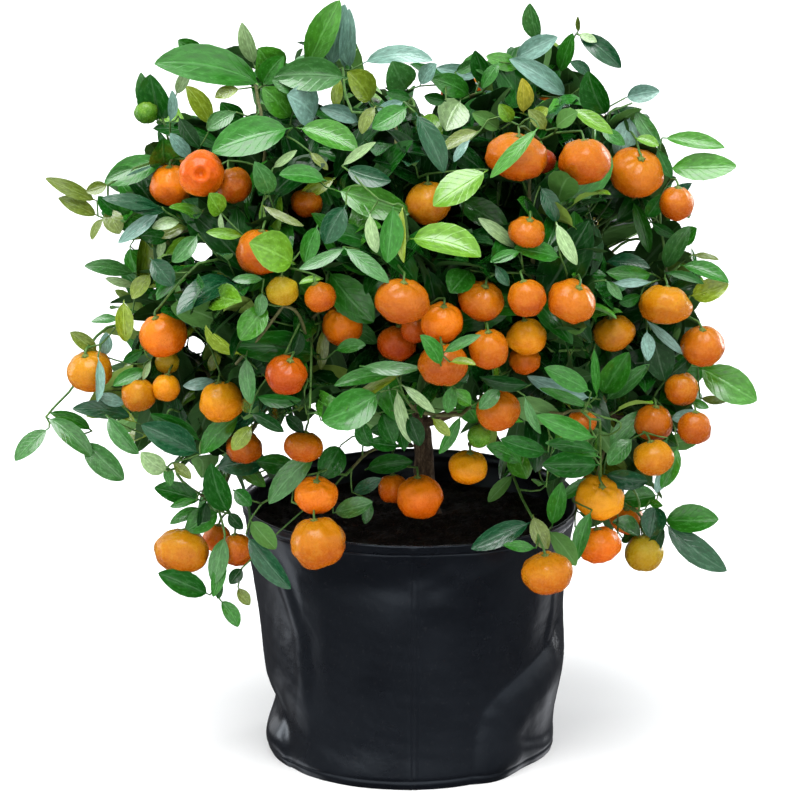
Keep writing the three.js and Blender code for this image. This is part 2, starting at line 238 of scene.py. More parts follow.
def ramp(t, x, stops):
    n = t.nodes.new("ShaderNodeValToRGB")
    e = n.color_ramp.elements
    while len(e) > 1:
        e.remove(e[-1])
    e[0].position, e[0].color = stops[0][0], (*stops[0][1], 1)
    for pos, col in stops[1:]:
        k = e.new(pos)
        k.color = (*col, 1)
    t.links.new(x, n.inputs[0])
    return n.outputs[0]


def mix(t, f, a, b, kind="MIX"):
    n = t.nodes.new("ShaderNodeMix")
    n.data_type = "RGBA"
    n.blend_type = kind
    for sock, v in ((n.inputs[0], f), (n.inputs[6], a), (n.inputs[7], b)):
        if isinstance(v, (int, float)):
            sock.default_value = v
        elif isinstance(v, tuple):
            sock.default_value = (*v, 1)
        else:
            t.links.new(v, sock)
    return n.outputs[2]


def spread(t, x, lo, hi, a, b):
    """x from lo..hi mapped to a..b, smoothly and clamped."""
    n = t.nodes.new("ShaderNodeMapRange")
    n.interpolation_type = "SMOOTHSTEP"
    for i, v in enumerate((x, lo, hi, a, b)):
        if isinstance(v, (int, float)):
            n.inputs[i].default_value = v
        else:
            t.links.new(v, n.inputs[i])
    return n.outputs[0]


def srgb(r, g, b):
    def f(c):
        c /= 255
        return c / 12.92 if c <= 0.04045 else ((c + 0.055) / 1.055) ** 2.4

    return (f(r), f(g), f(b))


# Leaf colours, upper faces first, then undersides.
LEAF_TINTS = {
    "D": (0.0015, 0.033, 0.002),
    "E": (0.006, 0.079, 0.004),
    "M": (0.020, 0.152, 0.008),
    "N": (0.045, 0.208, 0.011),
    "L": (0.108, 0.270, 0.011),
    "Y": (0.1824, 0.266, 0.0137),
    "O": (0.125, 0.18, 0.022),
    "T": (0.005, 0.064, 0.020),
    "G": (0.040, 0.160, 0.031),
    # B: a pale blue-grey, partly painted sheen as glossy leaves show against the white backdrop
    "B": (0.16, 0.31, 0.25),
    "P": (0.23, 0.36, 0.15),
    "A": (0.58, 0.52, 0.05),
    "u": (0.060, 0.168, 0.028),
    "v": (0.0912, 0.2128, 0.0532),
    "w": (0.152, 0.2508, 0.0342),
    "s": (0.017, 0.07, 0.009),
}
TINT_NAMES = list(LEAF_TINTS)
TINT = {k: i for i, k in enumerate(TINT_NAMES)}
UNDERSIDE = {"u": "u", "D": "s", "E": "s", "M": "u", "N": "v", "L": "w", "Y": "w", "O": "w", "T": "v", "G": "v", "B": "v", "P": "v", "A": "w"}


def leaf_material(key):
    col = LEAF_TINTS[key]
    under = key in "uvws"
    m, t, b = material("leaf_" + ("under_" if under else "upper_") + str(TINT[key]))
    uv = node(t, "ShaderNodeUVMap", uv_map="LeafUV")
    sep = node(t, "ShaderNodeSeparateXYZ")
    link(t, uv.outputs[0], sep.inputs[0])
    u, v = sep.outputs[0], sep.outputs[1]
    off = maths(t, "ABSOLUTE", maths(t, "SUBTRACT", v, 0.5))
    # side veins run forwards from the midrib
    vein = maths(t, "FRACT", maths(t, "MULTIPLY", maths(t, "SUBTRACT", u, maths(t, "MULTIPLY", off, 0.55)), 8.0))
    vein = maths(t, "ABSOLUTE", maths(t, "SUBTRACT", vein, 0.5))
    vein = spread(t, vein, 0.0, 0.13, 1.0, 0.0)
    rib = spread(t, off, 0.012, 0.05, 1.0, 0.0)
    noise = node(t, "ShaderNodeTexNoise", Scale=7.0, Detail=4.0, Roughness=0.6)
    link(t, uv.outputs[0], noise.inputs["Vector"])
    dark = tuple(c * (0.62 if not under else 0.8) for c in col)
    pale = tuple(min(1, c * (1.35 if not under else 1.15) + 0.012) for c in col)
    c = ramp(t, noise.outputs["Fac"], [(0.3, dark), (0.5, col), (0.72, pale)])
    c = mix(t, maths(t, "MULTIPLY", vein, 0.09 if not under else 0.16), c, tuple(min(1, x * 1.5 + 0.02) for x in col))
    ribc = tuple(min(1, x * 1.6 + 0.05) for x in col) if not under else tuple(min(1, x * 1.35 + 0.05) for x in col)
    c = mix(t, maths(t, "MULTIPLY", rib, 0.6), c, ribc)
    edge = spread(t, off, 0.455, 0.5, 0.0, 0.5)
    c = mix(t, edge, c, tuple(min(1, x * 1.25 + 0.03) for x in col))
    link(t, c, b.inputs["Base Color"])
    rough = spread(t, noise.outputs["Fac"], 0.35, 0.65, 0.15 if not under else 0.55, 0.29 if not under else 0.7)
    link(t, rough, b.inputs["Roughness"])
    b.inputs["Specular IOR Level"].default_value = 0.25 if under else {"D": 0.22, "E": 0.3, "M": 0.55, "N": 0.7, "T": 0.62}.get(key, 0.75)
    h = maths(t, "ADD", maths(t, "MULTIPLY", vein, -0.35), maths(t, "MULTIPLY", rib, -1.0))
    h = maths(t, "ADD", h, maths(t, "MULTIPLY", noise.outputs["Fac"], 0.35))
    bump = node(t, "ShaderNodeBump", Strength=0.4, Distance=0.0006)
    link(t, h, bump.inputs["Height"])
    link(t, bump.outputs[0], b.inputs["Normal"])
    return m


FRUIT_TINTS = {
    # low colour, main colour, high colour
    "o": ((0.3089, 0.043, 0.00042), (0.4158, 0.0859, 0.00078), (0.4752, 0.1473, 0.00198)),
    "y": ((0.3683, 0.0859, 0.00078), (0.4514, 0.1473, 0.0012), (0.5108, 0.2332, 0.00474)),
    "r": ((0.2554, 0.0196, 0.00042), (0.3564, 0.046, 0.00042), (0.4277, 0.0859, 0.0012)),
    "d": ((0.1544, 0.0073, 0.00042), (0.2376, 0.0184, 0.00042), (0.3089, 0.043, 0.00078)),
    "b": ((0.2614, 0.0392, 0.00042), (0.3623, 0.0749, 0.00078), (0.4277, 0.1258, 0.0024)),
    "l": ((0.297, 0.1596, 0.0024), (0.3802, 0.2394, 0.00474), (0.4158, 0.3192, 0.01782)),
    "k": ((0.1663, 0.1166, 0.00198), (0.2614, 0.1964, 0.00396), (0.3089, 0.2701, 0.01386)),
    "g": ((0.024, 0.108, 0.0043), (0.064, 0.199, 0.0086), (0.16, 0.315, 0.032)),
    # h: a paler, brighter rind, painted light for fruit that hang in the crown's shade
    "h": ((0.56, 0.15, 0.001), (0.70, 0.235, 0.002), (0.78, 0.35, 0.007)),
    "m": ((0.34, 0.064, 0.0006), (0.434, 0.115, 0.001), (0.493, 0.19, 0.0033)),
    "q": ((0.50, 0.07, 0.0006), (0.66, 0.13, 0.001), (0.74, 0.21, 0.004)),
}
FRUIT_KEYS = list(FRUIT_TINTS)


def fruit_material(key):
    lo, mid, hi = FRUIT_TINTS[key]
    m, t, b = material("fruit_rind_" + str(FRUIT_KEYS.index(key)))
    loc = node(t, "ShaderNodeAttribute", attribute_name="rind")  # place on the fruit, in its own frame
    seed = node(t, "ShaderNodeAttribute", attribute_name="rind_seed")
    add = node(t, "ShaderNodeVectorMath", operation="ADD")
    link(t, loc.outputs["Vector"], add.inputs[0])
    link(t, seed.outputs["Vector"], add.inputs[1])
    place = add.outputs[0]
    big = node(t, "ShaderNodeTexNoise", Scale=1.6, Detail=3.0, Roughness=0.55)
    small = node(t, "ShaderNodeTexNoise", Scale=7.0, Detail=3.0, Roughness=0.6)
    pores = node(t, "ShaderNodeTexVoronoi", Scale=17.0, Randomness=0.85)
    for n in (big, small, pores):
        link(t, place, n.inputs["Vector"])
    f = maths(t, "ADD", maths(t, "MULTIPLY", big.outputs["Fac"], 0.65), maths(t, "MULTIPLY", small.outputs["Fac"], 0.35))
    c = ramp(t, f, [(0.3, lo), (0.5, mid), (0.7, hi)])
    pit = spread(t, pores.outputs["Distance"], 0.0, 0.33, 1.0, 0.0)
    c = mix(t, maths(t, "MULTIPLY", pit, 0.28), c, tuple(x * 0.72 for x in lo))
    # a touch of green round the stalk
    sep = node(t, "ShaderNodeSeparateXYZ")
    link(t, loc.outputs["Vector"], sep.inputs[0])
    flat = maths(t, "SUBTRACT", sep.outputs[2], maths(t, "MULTIPLY", maths(t, "SUBTRACT", big.outputs["Fac"], 0.5), 0.5))
    top = spread(t, flat, 0.66, 0.90, 0.0, 0.5 if key in "lkg" else 0.16)
    c = mix(t, top, c, srgb(150, 150, 40))
    # painted shade: the rind is darker and redder towards the underside, and painted light makes it paler towards the
    # top
    low = spread(t, flat, -0.85, 0.15, 0.5, 0.0)
    c = mix(t, low, c, tuple(x * y for x, y in zip(lo, (0.9, 0.62, 0.8))))
    c = mix(t, spread(t, flat, -0.2, 0.7, 0.0, 0.55), c, hi)
    link(t, c, b.inputs["Base Color"])
    b.inputs["Subsurface Weight"].default_value = 0.08
    b.inputs["Subsurface Radius"].default_value = (1.0, 0.4, 0.12)
    b.inputs["Subsurface Scale"].default_value = 0.004
    link(t, spread(t, small.outputs["Fac"], 0.3, 0.7, 0.19, 0.34), b.inputs["Roughness"])
    b.inputs["Specular IOR Level"].default_value = 0.3
    h = maths(t, "ADD", maths(t, "MULTIPLY", pit, -1.0), maths(t, "MULTIPLY", small.outputs["Fac"], 0.5))
    bump = node(t, "ShaderNodeBump", Strength=0.7, Distance=0.0006)
    link(t, h, bump.inputs["Height"])
    link(t, bump.outputs[0], b.inputs["Normal"])
    return m


def wood_material(name, cols, scale, bump_mm, rough=0.8, stretch=0.28):
    m, t, b = material(name)
    loc = node(t, "ShaderNodeAttribute", attribute_name="bark")  # round the limb and along it, in cm
    mp = node(t, "ShaderNodeMapping")
    mp.inputs["Scale"].default_value = (1, 1, stretch)
    link(t, loc.outputs["Vector"], mp.inputs["Vector"])
    n1 = node(t, "ShaderNodeTexNoise", Scale=scale, Detail=6.0, Roughness=0.62)
    n2 = node(t, "ShaderNodeTexNoise", Scale=scale * 5, Detail=3.0, Roughness=0.6)
    cell = node(t, "ShaderNodeTexVoronoi", Scale=scale * 1.7, feature="DISTANCE_TO_EDGE")
    for n in (n1, n2, cell):
        link(t, mp.outputs[0], n.inputs["Vector"])
    f = maths(t, "ADD", maths(t, "MULTIPLY", n1.outputs["Fac"], 0.7), maths(t, "MULTIPLY", n2.outputs["Fac"], 0.3))
    c = ramp(t, f, [(0.34, cols[0]), (0.5, cols[1]), (0.66, cols[2])])
    crack = spread(t, cell.outputs[0], 0.0, 0.12, 1.0, 0.0)
    c = mix(t, maths(t, "MULTIPLY", crack, 0.5), c, tuple(x * 0.35 for x in cols[0]))
    link(t, c, b.inputs["Base Color"])
    link(t, spread(t, n2.outputs["Fac"], 0.3, 0.7, rough - 0.08, rough + 0.08), b.inputs["Roughness"])
    b.inputs["Specular IOR Level"].default_value = 0.3
    h = maths(t, "SUBTRACT", f, maths(t, "MULTIPLY", crack, 0.5))
    bump = node(t, "ShaderNodeBump", Strength=0.7, Distance=bump_mm * MM)
    link(t, h, bump.inputs["Height"])
    link(t, bump.outputs[0], b.inputs["Normal"])
    return m


def film_material():
    m, t, b = material("black_pot_film")
    co = node(t, "ShaderNodeTexCoord").outputs["Object"]
    n1 = node(t, "ShaderNodeTexNoise", Scale=14.0, Detail=4.0, Roughness=0.55)
    n2 = node(t, "ShaderNodeTexNoise", Scale=420.0, Detail=2.0, Roughness=0.6)
    n3 = node(t, "ShaderNodeTexNoise", Scale=55.0, Detail=3.0, Roughness=0.55)
    for n in (n1, n2, n3):
        link(t, co, n.inputs["Vector"])
    c = ramp(t, n1.outputs["Fac"], [(0.3, (0.0028, 0.0034, 0.0052)), (0.55, (0.0038, 0.0046, 0.0068)), (0.75, (0.0052, 0.0062, 0.0090))])
    # a little dust lies in fine specks over the film
    c = mix(t, spread(t, n2.outputs["Fac"], 0.62, 0.72, 0.0, 0.05), c, srgb(96, 92, 88))
    link(t, c, b.inputs["Base Color"])
    link(t, spread(t, n1.outputs["Fac"], 0.3, 0.7, 0.25, 0.36), b.inputs["Roughness"])
    b.inputs["Specular IOR Level"].default_value = 0.4
    b.inputs["Specular Tint"].default_value = (0.74, 0.86, 1.0, 1)
    h = maths(t, "ADD", maths(t, "MULTIPLY", n3.outputs["Fac"], 1.0), maths(t, "MULTIPLY", n2.outputs["Fac"], 0.08))
    bump = node(t, "ShaderNodeBump", Strength=0.35, Distance=0.0012)
    link(t, h, bump.inputs["Height"])
    link(t, bump.outputs[0], b.inputs["Normal"])
    return m


def soil_material():
    m, t, b = material("damp_compost")
    co = node(t, "ShaderNodeTexCoord").outputs["Object"]
    n1 = node(t, "ShaderNodeTexNoise", Scale=60.0, Detail=6.0, Roughness=0.7)
    n2 = node(t, "ShaderNodeTexVoronoi", Scale=260.0)
    n3 = node(t, "ShaderNodeTexNoise", Scale=700.0, Detail=2.0)
    for n in (n1, n2, n3):
        link(t, co, n.inputs["Vector"])
    f = maths(t, "ADD", maths(t, "MULTIPLY", n1.outputs["Fac"], 0.6), maths(t, "MULTIPLY", n3.outputs["Fac"], 0.4))
    c = ramp(t, f, [(0.36, srgb(13, 8, 6)), (0.5, srgb(26, 17, 12)), (0.6, srgb(44, 29, 20)), (0.7, srgb(74, 50, 34))])
    link(t, c, b.inputs["Base Color"])
    b.inputs["Roughness"].default_value = 0.9
    b.inputs["Specular IOR Level"].default_value = 0.25
    h = maths(t, "ADD", maths(t, "MULTIPLY", n2.outputs["Distance"], 0.6), f)
    bump = node(t, "ShaderNodeBump", Strength=0.9, Distance=0.0022)
    link(t, h, bump.inputs["Height"])
    link(t, bump.outputs[0], b.inputs["Normal"])
    return m


# ------------------------------------------------------------------ mesh making


def make_piece(name, verts, loops, sizes, mats, mat_index=None, uvs=None, attrs=None, replaces=(), slot=None, sharp=None):
    """A mesh from flat arrays: verts (n, 3) in mm, loops (vertex of each corner), sizes (corners of each face)."""
    me = bpy.data.meshes.new(name)
    me.vertices.add(len(verts))
    me.vertices.foreach_set("co", (np.asarray(verts, np.float64) * MM).astype(np.float32).ravel())
    me.loops.add(len(loops))
    me.loops.foreach_set("vertex_index", np.asarray(loops, np.int32))
    me.polygons.add(len(sizes))
    start = np.concatenate([[0], np.cumsum(sizes)[:-1]]).astype(np.int32)
    me.polygons.foreach_set("loop_start", start)
    me.polygons.foreach_set("loop_total", np.asarray(sizes, np.int32))
    me.polygons.foreach_set("use_smooth", np.ones(len(sizes), bool))
    for m in mats:
        me.materials.append(m)
    if mat_index is not None:
        me.polygons.foreach_set("material_index", np.asarray(mat_index, np.int32))
    me.update(calc_edges=True)
    for key, val in (uvs or {}).items():
        me.uv_layers.new(name=key).data.foreach_set("uv", np.asarray(val, np.float32).ravel())
    for key, val in (attrs or {}).items():
        a = me.attributes.new(key, "FLOAT_VECTOR", "POINT")
        a.data.foreach_set("vector", np.asarray(val, np.float32).ravel())
    if sharp is not None:
        e = np.zeros(len(me.edges) * 2, np.int32)
        me.edges.foreach_get("vertices", e)
        e = e.reshape(-1, 2)
        a = me.attributes.new("sharp_edge", "BOOLEAN", "EDGE")
        a.data.foreach_set("value", (sharp[e[:, 0]] & sharp[e[:, 1]]))
    me.validate()
    ob = bpy.data.objects.new(name, me)
    bpy.context.scene.collection.objects.link(ob)
    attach(ob, "root")
    if replaces:
        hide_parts(*replaces)
    return ob


def grid_faces(rows, cols, closed=True):
    """Quads of a rows x cols grid of points, closed round the columns."""
    c = cols if closed else cols - 1
    i, j = np.meshgrid(np.arange(rows - 1), np.arange(c), indexing="ij")
    a = i * cols + j
    b = i * cols + (j + 1) % cols
    return np.stack([a, b, b + cols, a + cols], -1).reshape(-1, 4)


# ------------------------------------------------------------------ leaves
def leaf_width(t):
    """Share of the full width at t along the leaf; the first part is the stalk."""
    a = np.clip((np.asarray(t, float) - 0.08) / 0.92, 0, 1)
    return a**0.74 * (1 - a) ** 0.78 / 0.3487


# rows along the leaf, points across it, for leaves in plain sight, others, and those deep inside
LEAF_DETAIL = {
    0: (np.array([0, 0.08, 0.15, 0.26, 0.40, 0.55, 0.70, 0.83, 0.92, 0.97]), np.array([-1, -0.52, 0, 0.52, 1.0])),
    1: (np.array([0, 0.085, 0.18, 0.34, 0.52, 0.70, 0.85, 0.95]), np.array([-1, -0.52, 0, 0.52, 1.0])),
    2: (np.array([0, 0.085, 0.22, 0.46, 0.70, 0.88]), np.array([-1, 0, 1.0])),
}


def leaf_mid(P0, P1, N, sag, bow, t):
    """Points and tangents along the midrib: (n, rows, 3)."""
    d = P1 - P0
    side = np.cross(d, N)
    side /= np.maximum(np.linalg.norm(side, axis=1), 1e-9)[:, None]
    t = t[None, :, None]
    k, dk = 4 * t * (1 - t), 4 * (1 - 2 * t)
    pos = P0[:, None] + d[:, None] * t + N[:, None] * (sag[:, None, None] * k) + side[:, None] * (bow[:, None, None] * k)
    tan = d[:, None] + N[:, None] * (sag[:, None, None] * dk) + side[:, None] * (bow[:, None, None] * dk)
    tan /= np.maximum(np.linalg.norm(tan, axis=2), 1e-9)[:, :, None]
    return pos, tan


def leaf_grid(L, t, s):
    """Points of the leaves' upper faces (n, rows, cols, 3), their normals, and their tips."""
    w = leaf_width(t)
    P0, P1, N = L["p0"], L["p1"], L["n"]
    pos, tan = leaf_mid(P0, P1, N, L["sag"], L["bow"], t)
    nn = N[:, None] - tan * (N[:, None] * tan).sum(2, keepdims=True)
    nn /= np.maximum(np.linalg.norm(nn, axis=2), 1e-9)[:, :, None]
    bb = np.cross(tan, nn)
    ang = (L["twist"][:, None] * (t[None] - 0.3))[:, :, None]
    n2 = nn * np.cos(ang) + bb * np.sin(ang)
    b2 = bb * np.cos(ang) - nn * np.sin(ang)
    half = np.maximum(L["width"][:, None] / 2 * w[None], 0.55)
    fold = L["fold"][:, None, None]
    sw = s[None, None, :] * half[:, :, None]
    lift = np.abs(sw) * np.sin(fold) - L["curl"][:, None, None] * sw**2 / np.maximum(L["width"][:, None, None], 1)
    lift = lift + L["wave"][:, None, None] * np.sin(9 * t[None, :, None] + L["phase"][:, None, None] + 1.3 * np.sign(s)[None, None]) * np.abs(s)[None, None] ** 1.5 * np.minimum(half[:, :, None] / 4, 1)
    pts = pos[:, :, None] + b2[:, :, None] * (sw * np.cos(fold))[..., None] + n2[:, :, None] * lift[..., None]
    tip, _ = leaf_mid(P0, P1, N, L["sag"], L["bow"], np.array([1.0]))
    return pts, n2, tip[:, 0]


class Leaves:
    """A growing list of leaves, turned into meshes at the end."""

    KEYS = ("p0", "p1", "n", "width", "sag", "bow", "fold", "curl", "twist", "wave", "phase", "tint", "group")

    def __init__(self):
        self.rows = []

    def add(self, **k):
        self.rows.append(k)

    def arrays(self, rows=None):
        rows = self.rows if rows is None else rows
        out = {}
        for k in self.KEYS:
            out[k] = np.array([r[k] for r in rows], dtype=object if k in ("tint", "group") else float)
        return out


def leaf_mesh(L, lod):
    """Flat arrays of closed thin leaves: points, corners, face sizes, slots, two UV maps, margin points."""
    T, S = LEAF_DETAIL[lod]
    pts, nn, tip = leaf_grid(L, T, S)
    n, rows, cols = pts.shape[:3]
    mid = list(range(1, cols - 1))
    under = pts[:, :, mid] - nn[:, :, None] * 0.35
    top_count = rows * cols
    per = top_count + 1 + rows * len(mid)
    verts = np.concatenate([pts.reshape(n, -1, 3), tip[:, None], under.reshape(n, -1, 3)], 1)
    quads, tris, qm, tm = [], [], [], []

    def top(i, j):
        return i * cols + j

    def low(i, j):
        if j in (0, cols - 1):
            return top(i, j)
        return top_count + 1 + i * len(mid) + (j - 1)

    for i in range(rows - 1):
        for j in range(cols - 1):
            quads.append([top(i, j + 1), top(i, j), top(i + 1, j), top(i + 1, j + 1)])
            quads.append([low(i, j + 1), low(i + 1, j + 1), low(i + 1, j), low(i, j)])
            qm += [0, 1]
    for j in range(cols - 1):
        tris.append([top(rows - 1, j + 1), top(rows - 1, j), top_count])
        tris.append([low(rows - 1, j), low(rows - 1, j + 1), top_count])
        tm += [0, 1]
        a, b, c, d = top(0, j), top(0, j + 1), low(0, j + 1), low(0, j)
        if a == d:
            tris.append([a, b, c])
            tm.append(0)
        elif b == c:
            tris.append([a, b, d])
            tm.append(0)
        else:
            quads.append([a, b, c, d])
            qm.append(0)
    quads, tris, qm, tm = map(np.array, (quads, tris, qm, tm))
    tv = np.concatenate([np.repeat(T, cols), [1.0], np.repeat(T, len(mid))])
    sv = np.concatenate([np.tile(S, rows), [0.0], np.tile(S[mid], rows)]) * 0.5 + 0.5
    base = (np.arange(n) * per)[:, None, None]
    Q = (quads[None] + base).reshape(-1, 4)
    R = (tris[None] + base).reshape(-1, 3)
    loops = np.concatenate([Q.ravel(), R.ravel()])
    sizes = np.concatenate([np.full(len(Q), 4), np.full(len(R), 3)])
    tint = np.array([TINT[k] for k in L["tint"]])
    below = np.array([TINT[UNDERSIDE[k]] for k in L["tint"]])
    choice = np.stack([tint, below], 1)
    mi = np.concatenate([choice[:, qm].ravel(), choice[:, tm].ravel()])
    # leaf coordinates, and a map for baking in which each colour has a cell of its own
    vu, vv = np.tile(tv, n)[loops], np.tile(sv, n)[loops]
    cell = np.repeat(mi, sizes)
    bake = np.stack([(cell % 4 + 0.04 + 0.92 * vu) / 4, (cell // 4 + 0.04 + 0.92 * vv) / 4], 1)
    margin = np.zeros(per, bool)
    margin[[top(i, j) for i in range(rows) for j in (0, cols - 1)]] = True
    margin[top_count] = True
    return verts.reshape(-1, 3), loops, sizes, mi, np.stack([vu, vv], 1), bake, np.tile(margin, n)


def tris_of(lod):
    T, S = LEAF_DETAIL[lod]
    return (len(T) - 1) * (len(S) - 1) * 4 + (len(S) - 1) * 2 + 2 * (len(S) - 1) - 2


# ------------------------------------------------------------------ fruit
# Middle (pixels of the straight-on view), half width, half height, rind colour, depth:
# a number is the Y of its middle in mm, "s" just under the crown's face, "b" a little further in.
# The last value is how much of its disc stays clear of loose leaves.
FRUIT = [
    (146, 112, 12, 12, "g", "s", 0.8),
    (170, 184, 21, 21, "q", "b", 0.9),
    (201, 173, 23, 23, "q", "s", 0.95),
    (233, 184, 18, 19, "o", "b", 0.9),
    (306, 202, 16, 14, "o", "b", 0.7),
    (260, 252, 24, 23, "o", "s", 0.9),
    (282, 291, 16, 15, "l", "s", 0.95),
    (320, 297, 16, 15, "o", "s", 0.9),
    (163, 335, 24, 22, "q", "s", 0.95),
    (89, 371, 23, 20, "y", "s", 0.9),
    (166, 362, 12, 12, "l", "b", 0.6),
    (138, 395, 17, 17, "y", "s", 0.95),
    (166, 388, 14, 15, "h", "s", 0.9),
    (221, 402, 22, 21, "h", "s", 0.95),
    (286, 375, 21, 19, "r", "s", 0.95),
    (342, 326, 20, 20, "q", "s", 0.9),
    (402, 301, 27, 22, "b", "s", 0.95),
    (397, 343, 20, 18, "r", "b", 0.9),
    (415, 329, 14, 14, "r", "b", 0.8),
    (442, 322, 21, 20, "q", "s", 0.95),
    (443, 365, 25, 22, "b", "s", 0.7),
    (428, 203, 22, 22, "y", "s", 0.9),
    (517, 156, 31, 23, "o", "s", 0.95),
    (545, 160, 12, 14, "d", "b", 0.7),
    (585, 161, 26, 23, "o", "s", 0.95),
    (637, 172, 28, 22, "o", "s", 0.95),
    (677, 203, 18, 17, "o", "s", 0.95),
    (527, 232, 19, 15, "o", "s", 0.95),
    (481, 300, 23, 19, "o", "s", 0.95),
    (527, 298, 19, 19, "o", "s", 0.95),
    (572, 301, 25, 20, "o", "s", 0.95),
    (666, 305, 26, 20, "y", "s", 0.95),
    (527, 337, 20, 18, "h", "s", 0.95),
    (489, 349, 20, 20, "o", "s", 0.95),
    (525, 360, 16, 14, "q", "b", 0.8),
    (614, 333, 21, 18, "y", "s", 0.85),
    (703, 346, 22, 20, "o", "s", 0.9),
    (682, 389, 17, 20, "m", "s", 0.9),
    (498, 410, 22, 20, "o", "s", 0.95),
    (479, 436, 12, 13, "g", "s", 0.9),
    (468, 467, 20, 17, "h", -84, 0.95),
    (419, 497, 23, 22, "q", -92, 0.95),
    (393, 489, 15, 15, "q", -74, 0.8),
    (654, 458, 21, 18, "y", "s", 0.95),
    (655, 423, 19, 19, "b", "b", 0.9),
    (695, 428, 17, 17, "b", "s", 0.9),
    (584, 421, 14, 10, "b", "b", 0.5),
    (599, 497, 25, 19, "h", -60, 0.95),
    (599, 545, 22, 18, "q", -64, 0.95),
    (627, 519, 17, 14, "q", -22, 0.8),
    (644, 553, 19, 19, "l", -40, 0.95),
    (547, 573, 26, 21, "m", -126, 0.97),
    (182, 551, 27, 23, "y", -80, 0.95),
    (237, 550, 17, 20, "o", -78, 0.9),
    (217, 538, 14, 15, "q", -52, 0.7),
    (316, 495, 22, 18, "q", -118, 0.95),
    (318, 543, 28, 26, "m", -140, 0.97),
    (303, 447, 20, 16, "o", "b", 0.85),
    (243, 448, 18, 16, "b", "b", 0.7),
]
